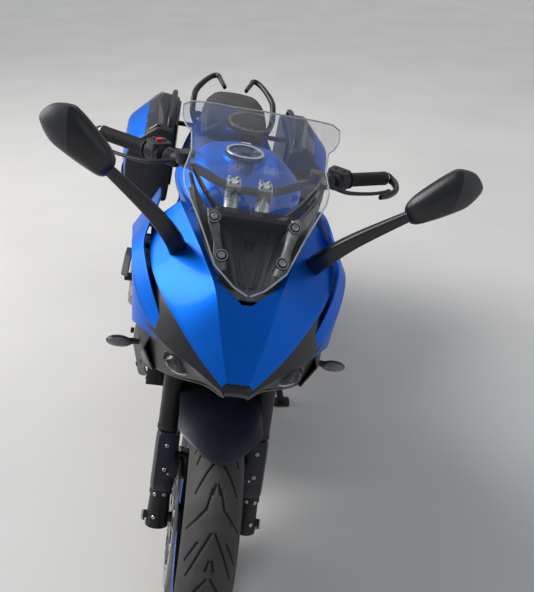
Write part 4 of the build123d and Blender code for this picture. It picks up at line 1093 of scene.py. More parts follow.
@dataclass
class Fairing(Maker):
    """The cowls, screen and lamps at the machine's front."""

    # y, then z on the middle line and (x, z) of the crease, shoulder, lamp side and lamp foot
    nose_rows: tuple = (
        (-850, 817, (21, 818), (30, 808), (26, 794), (22, 784)),
        (-800, 874, (42, 879), (80, 836), (86, 808), (60, 772)),
        (-740, 939, (62, 945), (126, 866), (146, 812), (116, 735)),
        (-660, 954, (86, 964), (172, 893), (196, 820), (172, 690)),
        (-570, 968, (115, 978), (197, 909), (212, 830), (192, 650)),
        (-450, 988, (150, 988), (205, 930), (215, 840), (200, 640)),
    )
    # y, then (x, z) of the wing's top edge, outer bend and bottom edge
    wing_rows: tuple = (
        (-728, (141, 822), (152, 815), (151, 802)),
        (-660, (180, 874), (198, 838), (200, 790)),
        (-600, (203, 908), (224, 866), (218, 760)),
        (-530, (214, 930), (238, 896), (220, 716)),
        (-430, (196, 972), (246, 880), (224, 640)),
        (-300, (200, 945), (254, 840), (228, 560)),
        (-180, (205, 890), (232, 800), (226, 600)),
    )
    # y, then (x, z) of the lower cowl's top edge, bend and bottom edge
    lower_rows: tuple = (
        (-690, (174, 790), (186, 758), (160, 700)),
        (-600, (207, 800), (207, 735), (176, 640)),
        (-500, (209, 725), (211, 640), (184, 550)),
        (-400, (212, 650), (212, 540), (176, 450)),
        (-250, (219, 600), (228, 455), (206, 345)),
        (-70, (222, 600), (226, 455), (212, 345)),
    )
    # y, z on the middle line and (x, z) of the edge, from inside the nose's tip round it to the fork
    chin_rows: tuple = (
        (-846, 807, (19, 804)), (-851, 798, (24, 797)), (-849, 789, (22, 787)), (-838, 783, (30, 780)),
        (-800, 770, (58, 769)), (-740, 748, (113, 733)), (-690, 734, (152, 708)), (-650, 726, (168, 692)),
    )
    # (x, y) of half the opening in the cowls, and then the panels' and the screen's sizes
    opening_half: tuple = ((10, -752), (50, -724), (70, -660), (92, -570), (128, -452), (128, -440))
    wall: float = 4.0
    screen_wall: float = 4.0
    screen_lean: float = 1.28
    screen_bend: float = 480.0
    screen_foot: Pair = (-749.0, 953.0)
    # z and half width of the screen, from its foot up
    screen_widths: tuple = (
        (951, 3), (953, 18), (983, 70), (1025, 100), (1055, 125), (1080, 146), (1098, 150), (1125, 140),
        (1150, 144), (1160, 160), (1175, 168), (1190, 168),
    )
    screen_top: tuple = ((0, 1206), (105, 1203), (150, 1199), (168, 1190))
    # (x, z) of the screen's screws
    screw_spots: tuple = ((80, 1044), (59, 996))
    # y, then (x, z) of the trough behind the screen, from the middle outward
    trough_rows: tuple = (
        (-744, ((0, 936), (14, 938), (40, 930))),
        (-700, ((0, 946), (24, 950), (62, 962))),
        (-640, ((0, 962), (44, 972), (92, 1012))),
        (-570, ((0, 985), (70, 996), (116, 1030))),
        (-535, ((0, 994), (96, 1000), (126, 1012))),
    )

    def build(self) -> None:
        """Make every piece of the fairing."""
        self.cowls()
        self.screen()
        self.trough()
        self.lamps()
        self.signals()
        self.cowl_screws()

    def opening(self, low: float) -> Mesh:
        """The prism that opens the cowls above the trough, from a given height."""
        outline = [*self.opening_half, *((-x, y) for x, y in reversed(self.opening_half))]
        return slab(outline, low, low + 150, Axis.Z)

    def cowls(self) -> None:
        """Blue nose and side cowls, and the black cowls under them."""
        rows = [[(x, y, z) for x, z in both([(0, top), crease, shoulder])]
                for y, top, crease, shoulder, side, foot in self.nose_rows]
        nose = cut(shell(smoothed(rows, 8, 6, (1, 3)), self.wall), self.opening(900))
        self.shop.place("nose_panel", soften(nose, 0.9, 2, 55), Paint.BLUE, Body.CHASSIS, slot="body_blue",
                        replaces=("nose_cowl",), smooth=30)
        rows = []
        for y, top, crease, shoulder, side, foot in self.nose_rows[:5]:
            half = [(0, top - 10), (crease[0] - 4, crease[1] - 10), (shoulder[0] - 9, shoulder[1] - 9),
                    side, foot]
            rows.append([(x, y, z) for x, z in both(half)])
        lamp = cut(shell(smoothed(rows, 6, 4, (1, 2, 3, 5, 6, 7)), self.wall), self.opening(880))
        self.shop.place("lamp_panel", soften(lamp, 0.8, 2, 55), Paint.SATIN_PLASTIC, Body.CHASSIS,
                        slot="trim_black", replaces=("lamp_cowl",), smooth=30)
        # the gloss black chin is a real under-nose panel and also a dark sheet standing in for the shade under
        # the nose
        chin = [[(x, y, z) for x, z in both([(0, rise), (foot[0] * 0.5, rise * 0.6 + foot[1] * 0.4), foot])]
                for y, rise, foot in self.chin_rows]
        self.shop.place("nose_chin", shell(smoothed(chin, 5, 4), 3.0), Paint.PIANO, Body.CHASSIS,
                        slot="trim_black", smooth=45)
        self.pair("side_panel", self.bent(self.wing_rows), Paint.BLUE, "body_blue", "side_cowl")
        self.pair("lower_panel", self.bent(self.lower_rows), Paint.BLACK_PLASTIC, "trim_black", "lower_cowl")
        fin = slab(((-470, 792), (-400, 806), (-352, 800), (-372, 786), (-450, 776)), 246, 262, Axis.X, 1.5)
        for vert in fin.verts:
            vert.co.z -= (vert.co.x - 246) * 0.5
            vert.co.y += (vert.co.x - 246) * 1.1
        self.pair("side_winglet", fin, Paint.BLACK_PLASTIC, "trim_black")

    def bent(self, table: Sequence[tuple]) -> Mesh:
        """A smooth walled panel with one crease, through the rows of a table."""
        return soften(shell(smoothed(rows_of(table), 6, 6, (1,)), self.wall), 0.9, 2, 55)

    def cowl_screws(self) -> None:
        """Screws along the cowls' edges."""
        spots = []
        for table, picks in ((self.wing_rows, ((0.74, 0.90), (0.95, 0.72), (0.95, 0.12))),
                             (self.lower_rows, ((0.42, 0.82), (0.78, 0.85), (0.95, 0.85), (0.95, 0.15)))):
            rows = smoothed(rows_of(table), 6, 6, (1,))
            for along, across in picks:
                i, j = round(along * (len(rows) - 1)), round(across * (len(rows[0]) - 1))
                here = Vector(rows[i][j])
                run = Vector(rows[min(i + 1, len(rows) - 1)][j]) - Vector(rows[i - 1][j])
                fall = Vector(rows[i][min(j + 1, len(rows[0]) - 1)]) - Vector(rows[i][j - 1])
                way = run.cross(fall).normalized()
                way = way if way.x > 0 else -way
                spots.append((tuple(here), way))
                spots.append(((-here.x, here.y, here.z), Vector((-way.x, way.y, way.z))))
        self.bolts("cowl_screws", spots, 6.0, 2.6, Paint.ALLOY_BLACK, Body.CHASSIS)

    def pair(self, name: str, mesh: Mesh, finish: Finish, slot: str = "", node: str = "") -> None:
        """Place a left-hand piece and its mirror image.

        Args:
            name: the piece's name without its side.
            mesh: the left-hand mesh.
            finish: the finish of both.
            slot: the record's slot of both.
            node: the name of the CAD nodes that they stand for, without their side.
        """
        for side, part in ((Side.RIGHT, mirrored(mesh)), (Side.LEFT, mesh)):
            stands_for = (f"{node}_{side.word}",) if node else ()
            self.shop.place(f"{name}_{side.word}", part, finish, Body.CHASSIS, slot=slot, replaces=stands_for,
                            smooth=30)

    def screen_y(self, x: float, z: float) -> float:
        """Y of the screen's front face."""
        y0, z0 = self.screen_foot
        return y0 + (z - z0) * self.screen_lean + x * x / 2 / self.screen_bend

    def screen(self) -> None:
        """The clear bent screen with its polished edge, and its screws."""
        foot, head = self.screen_widths[0][0], self.screen_widths[-1][0]
        rows: Rows = []
        edge: list[Point] = []
        levels = 60
        for k in range(levels + 1):
            z = foot + (head - foot) * k / levels
            half = between(self.screen_widths, z)
            row = []
            for i in range(-20, 21):
                x = half * i / 20
                height = z + (between(self.screen_top, abs(x)) - head) * (k / levels) ** 6
                row.append((x, self.screen_y(x, height), height))
            rows.append(row)
            edge.append(row[-1])
        sheet = shell([list(reversed(row)) for row in rows], -self.screen_wall)
        soften(sheet, 0.8, 2, 60)
        self.shop.place("screen_sheet", sheet, Paint.SCREEN, Body.CHASSIS, slot="screen",
                        replaces=("windscreen",))
        top = [rows[-1][i] for i in range(39, -1, -1)]
        rim = edge + top + [row[0] for row in reversed(rows[:-1])]
        line = [Vector(p) + Vector((0, 1.4, -1.2)) for p in rim[::2]]
        bead = tube([tuple(p) for p in line], 1.7, 8)
        self.shop.place("screen_edge", bead, Paint.SCREEN_EDGE, Body.CHASSIS)
        spots = []
        for x, z in self.screw_spots:
            for side in Side:
                way = Vector((side * x / self.screen_bend, -1, self.screen_lean)).normalized()
                spots.append(((side * x, self.screen_y(x, z), z), way))
        upward = Vector((0, 0, 1))
        washer = lathe([(0, 0), (0, 13.2), (1.6, 13), (2.2, 12), (2.2, 0)], (0, 0, 0), upward, 32, closed=False)
        self.many("screen_washers", washer, spots, Paint.RUBBER, Body.CHASSIS)
        ring_line = lathe([(2.1, 10.6), (3.0, 10.8), (3.0, 12.0), (2.1, 12.2)], (0, 0, 0), upward, 32)
        self.many("screen_rings", ring_line, spots, Paint.ZINC, Body.CHASSIS)
        head = lathe([(0, 0), (2, 7.6), (4.8, 6.8), (5.4, 4.6), (3.2, 3.8), (3.2, 0)], (0, 0, 0), upward, 24,
                     closed=False)
        self.many("screen_screws", head, spots, Paint.STEEL, Body.CHASSIS)

    def trough(self) -> None:
        """The dark V-shaped trough behind the screen, with its ridges, side cheeks, arms and display."""
        rows = [[(x, y, z) for x, z in both(points)] for y, points in self.trough_rows]
        pan = shell(smoothed(rows, 6, 5, (1, 2, 3)), self.wall)
        parts = [pan]
        for tip, foot in (((80, -622, 1042), (76, -602, 1000)), ((59, -686, 994), (55, -668, 962))):
            boss = tube([foot, tip], [12.5, 9.5], 20)
            parts += [boss, mirrored(boss)]
        self.shop.place("trough_pan", merge(parts), Paint.TROUGH, Body.CHASSIS, slot="trim_black",
                        replaces=("inner_cowl",), smooth=32)
        bands = []
        for foot, head in (((2, 10), (26, 40)), ((11, 15), (43, 52)), ((3, 8), (16, 20))):
            low = [(x, -716 + 0.2 * x, 945.5 + 0.1 * x) for x in foot]
            high = [(x, -522, 1000 + 0.06 * x) for x in head]
            rows = [[tuple(Vector(a) + (Vector(b) - Vector(a)) * k / 8) for a, b in zip(low, high)]
                    for k in range(9)]
            strip = soften(shell([[(x, y, z + 3.2) for x, y, z in row] for row in rows], 6.0), 0.7, 2, 55)
            bands += [strip, mirrored(strip)]
        self.shop.place("trough_bands", merge(bands), Paint.GREY_PLASTIC, Body.CHASSIS, slot="trim_black")
        lip = tube([(-58, -520, 1001), (-30, -515, 1004), (30, -515, 1004), (58, -520, 1001)], 7.0, 16,
                   flat=1.2, steps=4)
        arm = tube([(50, -524, 1002), (78, -528, 1024), (106, -526, 1058), (134, -512, 1096)], [8, 8, 7.5, 6],
                   16, flat=0.7, steps=6)
        brace = tube([(60, -560, 990), (92, -560, 1022), (120, -548, 1054), (137, -520, 1084)], [5, 5, 5, 4],
                     14, steps=6)
        parts = [lip, arm, mirrored(arm), brace, mirrored(brace)]
        self.shop.place("dash_arms", merge(parts), Paint.BLACK_PLASTIC, Body.CHASSIS, slot="trim_black")
        cheek_rows = (
            ((24, -724, 943), (38, -724, 950), (56, -712, 964), (60, -704, 956)),
            ((32, -688, 957), (54, -690, 972), (78, -676, 992), (84, -668, 984)),
            ((42, -640, 975), (68, -652, 996), (98, -640, 1020), (104, -632, 1010)),
            ((54, -590, 992), (84, -610, 1020), (116, -600, 1050), (122, -590, 1040)),
            ((64, -540, 1004), (98, -574, 1040), (128, -560, 1076), (136, -552, 1064)),
        )
        cheek = shell(smoothed([list(reversed(row)) for row in cheek_rows], 6, 5, (1, 2)), -3.0)
        self.pair("screen_cheek", soften(cheek, 0.8, 2, 55), Paint.SATIN_PLASTIC, "trim_black")
        # the brackets' pale grey finish is a painted highlight
        plate_line = [(52, -704, 975), (62, -690, 992), (70, -660, 1014), (80, -630, 1038), (88, -606, 1054)]
        plate = tube([(x, y + 4, z - 4) for x, y, z in plate_line], [9, 13, 9, 13, 8], 18, flat=0.35, steps=6)
        self.pair("screen_bracket", plate, Paint.CHEEK)
        panel = slab(rounded(160, 98, 12), -22, 0, Axis.Z, 3, 3)
        glass = slab(rounded(146, 84, 8), 0.2, 1.4, Axis.Z, 0.6, 2)
        turn = Vector((0, 0.75, 0.66)).normalized()
        across = Vector((1, 0, 0))
        placing = Matrix((across, turn.cross(across), turn)).transposed().to_4x4()
        placing.translation = Vector((0, -548, 1012))
        for name, mesh, finish, nodes in (("display_case", panel, Paint.BLACK_PLASTIC, ("display",)),
                                          ("display_glass", glass, Paint.DISPLAY, ())):
            mesh.transform(placing)
            self.shop.place(name, mesh, finish, Body.CHASSIS, slot="display", replaces=nodes)

    def lamps(self) -> None:
        """Headlamps: a bezel, a clear egg-shaped lens, a projector in its bowl and a light guide."""
        centre = Vector((104, -752, 780))
        bezel = tube([tuple(centre + Vector((37 * math.cos(a), 5 + 9 * abs(math.cos(a)), 23 * math.sin(a))))
                      for a in (2 * math.pi * k / 40 for k in range(41))], 3.4, 10)
        self.pair("lamp_bezel", bezel, Paint.PIANO)
        self.pair_lens(centre)
        bowl = lathe([(0, 6), (0, 17), (8, 16), (13, 12), (15, 6)], tuple(centre + Vector((0, -6, 0))),
                     Vector((0, 1, 0)), 32)
        self.pair("lamp_bowl", bowl, Paint.REFLECTOR)
        eye = ball(tuple(centre + Vector((0, -5, 0))), (12, 9, 12))
        self.pair("lamp_projector", eye, Paint.PIANO)
        guide = tube([(78, -762, 772), (84, -768, 766), (104, -771, 764), (124, -763, 768), (131, -752, 776)],
                     1.5, 8, steps=6)
        self.pair("lamp_guide", guide, Paint.LED)

    def pair_lens(self, centre: Vector) -> None:
        """Place both lenses as one piece.

        Args:
            centre: the middle of the left lens.
        """
        lens = ball(tuple(centre), (34, 22, 21), 20, 36)
        self.shop.place("lamp_lenses", paired(lens), Paint.CLEAR, Body.CHASSIS, slot="lamp_glass",
                        replaces=("headlamps",))

    def signals(self) -> None:
        """Turn signals: a dark housing, a ribbed pale lens and a stalk."""
        table = (
            (Vector((240, -618, 714)), ((240, -618, 714), (214, -613, 714), (196, -612, 714)), -1),
            (Vector((120, 852, 780)), ((120, 852, 780), (40, 848, 780), (20, 838, 780)), 1),
        )
        housings, lenses = [], []
        for centre, stalk, way in table:
            back = ball(tuple(centre), (28, 12, 14), 20, 36)
            for vert in back.verts:
                if (vert.co.y - centre.y) * way > 3:
                    vert.co.y = centre.y + 3 * way
            housings += [back, tube(stalk, [6.5, 7.5, 6] if way < 0 else 6, 16)]
            front = ball(tuple(centre), (26.4, 12, 12.6), 36, 72)
            for vert in front.verts:
                depth = (vert.co.y - centre.y) * way
                if depth < 1:
                    vert.co.y = centre.y + way
                elif depth > 2:
                    vert.co.y -= way * 0.5 * (1 + math.cos((vert.co.x - centre.x) * 1.4))
            lenses.append(front)
        self.shop.place("signal_housings", paired(*housings), Paint.SATIN_PLASTIC,
                        Body.CHASSIS, slot="trim_black", replaces=("turn_signals",))
        self.shop.place("signal_lenses", paired(*lenses), Paint.AMBER, Body.CHASSIS,
                        slot="amber")


@dataclass
class Mirrors(Maker):
    """The two mirrors: dome, glass frame and flat stalk, with a painted highlight on the dome's outer facet."""

    level: float = -662.0
    middle: Pair = (338, 1172)
    leaf: tuple = (
        (272, 1135), (278, 1160), (304, 1192), (334, 1222), (350, 1231), (380, 1228), (400, 1212), (404, 1196),
        (388, 1166), (362, 1146), (322, 1122), (290, 1110),
    )
    # distance in front of the glass, and size of the outline there
    dome_steps: tuple = ((0, 0.985), (1.5, 1.0), (8, 0.99), (14, 0.95), (20, 0.87), (26, 0.76), (31, 0.58),
                         (34, 0.36), (34.4, 0.12))
    # point, width and depth of the stalk's section
    stalk_line: tuple = (
        ((141, -588, 940), 40, 24), ((158, -618, 986), 37, 22), ((205, -642, 1048), 30, 20),
        ((284, -668, 1126), 22, 16),
    )

    def build(self) -> None:
        """Make both mirrors."""
        outline = ring(self.leaf, 5)
        rim = shrunk(outline, 5)
        u, v = self.middle
        rows = [[(x, self.level - 4, z) for x, z in rim], [(x, self.level, z) for x, z in rim]]
        for depth, size in self.dome_steps:
            rows.append([(u + (x - u) * size, self.level - depth, v + (z - v) * size) for x, z in outline])
        dome = outward(grid(rows, wrap=True, cap=True))
        # the dome's outer facet, beyond this plane, takes the lighter grey: a painted highlight on the black
        # shell
        highlight_edge, tilt = Vector((353, 0, 1190)), 0.06
        bmesh.ops.bisect_plane(dome, geom=[*dome.verts, *dome.edges, *dome.faces], plane_co=highlight_edge,
                               plane_no=Vector((1, 0, -tilt)).normalized())
        for face in dome.faces:
            middle = face.calc_center_median()
            if middle.x > highlight_edge.x + (middle.z - highlight_edge.z) * tilt and middle.y < self.level - 1:
                face.material_index = 1
        first, last = Vector(self.stalk_line[0][0]), Vector(self.stalk_line[-1][0])
        run = (last - first).normalized()
        wide_way = run.cross(Vector((0, 1, 0))).normalized()
        deep_way = run.cross(wide_way)
        line = curve([(*point, wide, deep) for point, wide, deep in self.stalk_line], 6)
        bars = []
        for x, y, z, wide, deep in line:
            section = rounded(wide, deep, 7)
            bars.append([tuple(Vector((x, y, z)) + wide_way * a + deep_way * b) for a, b in section])
        stalk = outward(grid(bars, wrap=True, cap=True))
        whole = merge((dome, stalk))
        for side, mesh in ((Side.RIGHT, mirrored(whole)), (Side.LEFT, whole)):
            self.shop.place(f"mirror_shell_{side.word}", mesh, Paint.SATIN_PLASTIC, Body.CHASSIS,
                            slot="trim_black",
                            replaces=(f"mirror_{side.word}",), smooth=38, extra=(Paint.GREY_PLASTIC,))


@dataclass
class Fender(Maker):
    """The front fender, its side leaves and their screw pads."""

    axle: Pair = FRONT_AXLE
    radius: float = 337.0
    drop: float = 26.0
    half: float = 92.0
    rear_deg: float = 43.0
    # half width and reach ahead of the axle along the rounded tongue
    tongue: tuple = ((0, 126), (20, 120), (40, 106), (56, 86), (68, 71), (80, 54), (88, 36), (92, 22))
    leaf: tuple = ((-30, 313), (60, 308), (125, 288), (150, 250), (110, 190), (70, 190))

    def build(self) -> None:
        """Make the fender."""
        y0, z0 = self.axle
        bend = (self.half ** 2 + self.drop ** 2) / (2 * self.drop)
        rows: Rows = []
        steps = 44
        for k in range(steps + 1):
            row = []
            for i in range(-28, 29):
                x = self.half * math.sin(math.pi / 2 * i / 28)
                reach = between(self.tongue, abs(x))
                radius = self.radius - bend + math.sqrt(bend ** 2 - x ** 2)
                front = -math.asin(reach / radius)
                angle = front + (math.radians(self.rear_deg) - front) * k / steps
                row.append((x, y0 + radius * math.sin(angle), z0 + radius * math.cos(angle)))
            rows.append(row)
        hood = soften(shell(rows, 4.0), 0.9, 2, 55)
        leaf = slab([(y0 + y, z0 + z) for y, z in self.leaf], 84, 88, Axis.X, 1.2, 2)
        parts = [hood, leaf, mirrored(leaf)]
        for y, z in ((110, 215), (128, 262)):
            pad = lathe([(0, 0), (0, 9), (3, 8), (3, 0)], (88, y0 + y, z0 + z), Vector((1, 0, 0)), 20,
                        closed=False)
            parts += [pad, mirrored(pad)]
        self.shop.place("fender_hood", merge(parts), Paint.FENDER, Body.STEERING, slot="fender_black",
                        replaces=("front_fender",), smooth=32)


@dataclass
class Wheels(Maker):
    """Tyres with their tread, rim stripes, disc buttons, brake calipers and fork details."""

    front: Pair = FRONT_AXLE
    rear: Pair = REAR_AXLE
    bead: float = 218.0
    leg_x: float = 105.0
    groove_deep: float = 3.2
    # how far from the crown the grooves can reach on the front tyre
    tread_reach: float = 66.0
    # one repeat of the tread: grooves as (distance from the crown, distance round the tyre) in millimetres
    grooves: tuple = (
        ((4, 0), (22, 36), (48, 92)),
        ((3, 52), (8, 72)),
        ((4, 88), (24, 118), (46, 158)),
        ((3, 140), (7, 160)),
        ((9, 150), (18, 190), (40, 214), (62, 232)),
        ((30, 20), (56, 62)),
    )

    def build(self) -> None:
        """Make the wheels' pieces."""
        self.tyre("front_tread", self.front, 300.0, 60.0, 43.0, (900, 84, 8), Body.FRONT_WHEEL, "front_tyre")
        self.tyre("rear_tread", self.rear, 311.0, 95.0, 74.0, (720, 84, 8), Body.REAR_WHEEL, "rear_tyre")
        self.stripes()
        self.brakes()
        self.fork()
        self.guards()

    def groove_depth(self, across: float, around: float, period: float, grow: float) -> float:
        """How deep the tread is cut at a point, from 0 to 1.

        Args:
            across: distance from the crown.
            around: distance round the tyre, within one repeat.
            period: length of a repeat.
            grow: how much wider this tyre's pattern is than the table.

        Returns:
            0 on a block and 1 at the bottom of a groove.
        """
        half = 2.9
        nearest = half
        for line in self.grooves:
            for (u0, a0), (u1, a1) in zip(line, line[1:]):
                u0, u1 = u0 * grow, u1 * grow
                for wrap in (-period, 0.0, period):
                    if around < a0 + wrap - half or around > a1 + wrap + half:
                        continue
                    if across < min(u0, u1) - half or across > max(u0, u1) + half:
                        continue
                    du, da = u1 - u0, a1 - a0
                    share = ((across - u0) * du + (around - a0 - wrap) * da) / (du * du + da * da)
                    share = max(0.0, min(1.0, share))
                    nearest = min(nearest,
                                  math.hypot(across - u0 - du * share, around - a0 - wrap - da * share))
        return min(1.0, (half - nearest) / (half * 0.55))

    def tyre(self, name: str, axle: Pair, radius: float, half: float, bead_half: float,
             counts: tuple[int, int, int], body: Body, node: str) -> None:
        """A tyre with a round crown, cut grooves darkened by painted shade, and ringed sidewalls.

        Args:
            name: the piece's name.
            axle: the axle's Y and Z.
            radius: radius at the crown.
            half: half the tyre's width.
            bead_half: half the width at the beads.
            counts: points round the tyre, points across the crown, and repeats of the tread.
            body: the body it rides on.
            node: the CAD node it stands for.
        """
        around, across, repeats = counts
        bulge = self.bead + (radius - self.bead) * 0.42
        rise = radius - bulge
        bend = (half * half + rise * rise) / (2 * rise)
        sweep = math.asin(min(1.0, half / bend)) if bend > half else math.pi / 2
        if rise > half:
            sweep = math.pi - sweep
        profile = []
        for i in range(across + 1):
            a = sweep * (2 * i / across - 1)
            profile.append((bend * math.sin(a), radius - bend + bend * math.cos(a), abs(bend * a)))
        bare = 999.0
        side = []
        for k, (out, reach) in enumerate(((0.2, 0.1), (0.52, 0.3), (0.56, 0.33), (0.6, 0.36), (0.82, 0.62),
                                          (0.9, 0.74), (0.93, 0.78), (1.0, 1.0))):
            lift = 0.7 if k in (2, 6) else 0.0
            side.append((half + (bead_half - half) * reach + lift, bulge + (self.bead - bulge) * out, bare))
        inner = [(bead_half - 9, self.bead, bare), (half - 12, bulge, bare), (0.0, radius - 12, bare),
                 (12 - half, bulge, bare), (9 - bead_half, self.bead, bare)]
        left = [(-x, r, w) for x, r, w in reversed(side)]
        section = profile + side + inner + left
        period = 2 * math.pi * radius / repeats
        grow = half / 60.0
        wide = len(section)
        points, shade_marks, faces = [], [], []
        for k in range(around):
            turn = 2 * math.pi * k / around
            place = (turn * radius) % period
            for x, r, arc in section:
                depth = self.groove_depth(arc, place, period, grow) if arc < self.tread_reach * grow else 0.0
                reach = r - self.groove_deep * depth
                points.append((x, axle[0] - reach * math.sin(turn), axle[1] + reach * math.cos(turn)))
                shade_marks.append(depth)
            for i in range(wide):
                j, n = (i + 1) % wide, (k + 1) % around
                faces.append((k * wide + i, k * wide + j, n * wide + j, n * wide + i))
        data = bpy.data.meshes.new("tread")
        data.from_pydata(points, [], faces)
        # the grooves' depths, kept as the mask where painted shade darkens the rubber
        layer = data.attributes.new("groove", "FLOAT", "POINT")
        layer.data.foreach_set("value", shade_marks)
        mesh = bmesh.new()
        mesh.from_mesh(data)
        bpy.data.meshes.remove(data)
        bmesh.ops.recalc_face_normals(mesh, faces=mesh.faces)
        self.shop.place(name, mesh, Paint.TYRE, body, slot="tyre", replaces=(node,), smooth=60)

    def stripes(self) -> None:
        """Thin blue stripes on the rims' flanks, and the valve stems."""
        for name, axle, half, body in (("front", self.front, 45.0, Body.FRONT_WHEEL),
                                       ("rear", self.rear, 76.0, Body.REAR_WHEEL)):
            bands = []
            for side in (-1, 1):
                outline = [(side * (half - 1.6), 203), (side * (half - 0.6), 203.4),
                           (side * (half + 0.5), 214.6), (side * (half - 0.9), 215)]
                bands.append(lathe(outline, (0, *axle), Vector((1, 0, 0)), 144))
            self.shop.place(f"{name}_rim_stripe", merge(bands), Paint.RIM_STRIPE, body)
            stem = tube([(half * 0.5, axle[0] + 190, axle[1] + 20), (half * 0.7, axle[0] + 172, axle[1] + 18)],
                        3.2, 12)
            self.shop.place(f"{name}_valve", stem, Paint.RUBBER, body)

    def brakes(self) -> None:
        """Buttons on the front discs, and calipers with piston caps and bolts."""
        spots = []
        for side in Side:
            for k in range(10):
                a = 2 * math.pi * (k + 0.5) / 10
                place = (side * 72.4, self.front[0] + 119 * math.cos(a), self.front[1] + 119 * math.sin(a))
                spots.append((place, Vector((side, 0, 0))))
        button = lathe([(0, 0), (0, 8.5), (1.6, 8.0), (2.2, 6.6), (1.2, 4.0), (1.2, 0)], (0, 0, 0),
                       Vector((0, 0, 1)), 20, closed=False)
        self.many("disc_buttons", button, spots, Paint.ZINC, Body.FRONT_WHEEL)
        a = math.radians(52)
        middle = Vector((0, self.front[0] + 128 * math.cos(a), self.front[1] + 128 * math.sin(a)))
        out, along = Vector((0, math.cos(a), math.sin(a))), Vector((0, -math.sin(a), math.cos(a)))
        halves = []
        for low, high in ((46.2, 64.2), (75.6, 93.8)):
            outline = []
            for u, v in rounded(126, 60, 14, 5):
                waist = 1 - 0.16 * (1 - min(1.0, abs(u) / 30))
                spot = middle + along * u + out * v * waist
                outline.append((spot.y, spot.z))
            halves.append(slab(outline, low, high, Axis.X, 3.0, 2))
        bridge_line = [middle + along * u + out * 24 for u in (-52, 52)]
        halves.append(tube([(70, p.y, p.z) for p in bridge_line], 6.0, 12, flat=1.6))
        for u in (-52, 52):
            end = middle + along * u + out * 25
            halves.append(tube([(60, end.y, end.z), (80, end.y, end.z)], 7.0, 16))
        for u in (-30, 30):
            spot = middle + along * u + out * 2
            halves.append(lathe([(0, 0), (0, 15), (2.0, 14), (2.0, 0)], (93.4, spot.y, spot.z),
                                Vector((1, 0, 0)), 32, closed=False))
        whole = merge(halves)
        self.shop.place("brake_calipers", paired(whole), Paint.ALLOY_BLACK, Body.STEERING,
                        slot="alloy_black", replaces=("front_calipers",))
        bolts = []
        for side in Side:
            for u in (-54, 0, 54):
                spot = middle + along * u + out * (-20 if u else 22)
                bolts.append(((side * 93.6, spot.y, spot.z), (side, 0, 0)))
        self.bolts("caliper_bolts", bolts, 5.2, 4.5, Paint.ZINC, Body.STEERING)

    def fork(self) -> None:
        """Bolts, top caps and seals on the fork legs, and the axle's ends."""
        up, ahead = leaned(RAKE_DEG)
        foot = Vector((0, *self.front))
        spots = []
        for side in Side:
            for s, turn, radius in ((8, 0.35, 27.2), (-6, 1.2, 27.2), (62, 0.5, 25.2), (64, -0.3, 25.2),
                                    (127, 0, 31), (184, 0, 31)):
                way = (ahead * math.cos(turn) + Vector((side * math.sin(turn), 0, 0))).normalized()
                spots.append((tuple(foot + Vector((side * self.leg_x, 0, 0)) + up * s + way * radius), way))
        self.bolts("fork_bolts", spots, 4.6, 4.0, Paint.ZINC, Body.STEERING)
        ends = []
        for side in Side:
            ends.append(lathe([(0, 0), (0, 11.6), (4, 11), (4, 7), (1, 6.4), (1, 0)],
                              (side * 139.2, *self.front), Vector((side, 0, 0)), 24, closed=False))
        self.shop.place("axle_ends", merge(ends), Paint.ZINC, Body.STEERING)
        caps = []
        for side in Side:
            base = foot + Vector((side * self.leg_x, 0, 0)) + up * 715.5
            caps.append(lathe([(0, 0), (0, 24), (5, 23.4), (6, 21), (6, 12), (11, 11), (11, 0)], tuple(base),
                              up, 40, closed=False))
        self.shop.place("fork_caps", merge(caps), Paint.RIM_STRIPE, Body.STEERING)
        seals = []
        for side in Side:
            base = foot + Vector((side * self.leg_x, 0, 0)) + up * 214
            seals.append(lathe([(0, 21.6), (0, 26), (3, 28), (12, 28), (12, 26)], tuple(base), up, 40))
            low = foot + Vector((side * self.leg_x, 0, 0)) + up * 60
            seals.append(lathe([(0, 21.6), (0, 27), (10, 26), (10, 21.6)], tuple(low), up, 40))
        self.shop.place("fork_seals", merge(seals), Paint.RUBBER, Body.STEERING)

    def guards(self) -> None:
        """Flat-faced guards in front of the fork's inner tubes, and the bright tubes behind them."""
        up, ahead = leaned(RAKE_DEG)
        section = ((-24, -8), (-25, 12), (-19, 30), (0, 31), (19, 30), (25, 12), (24, -8))
        rows: Rows = []
        for s, size in ((72, 0.82), (80, 0.97), (90, 1.0), (200, 1.0), (208, 0.97), (213, 0.88)):
            base = Vector((self.leg_x, *self.front)) + up * s
            rows.append([tuple(base + Vector((u * size, 0, 0)) + ahead * v * size) for u, v in section])
        guard = soften(shell([list(reversed(row)) for row in rows], 2.5), 1.2, 2, 25)
        self.shop.place("fork_guards", paired(guard), Paint.FENDER, Body.STEERING,
                        slot="fender_black", smooth=30)
        sleeve = lathe([(70, 20.2), (70, 22.4), (224, 22.4), (224, 20.2)], (self.leg_x, *self.front), up, 40)
        self.shop.place("fork_inner_tubes", paired(sleeve), Paint.CHROME, Body.STEERING)


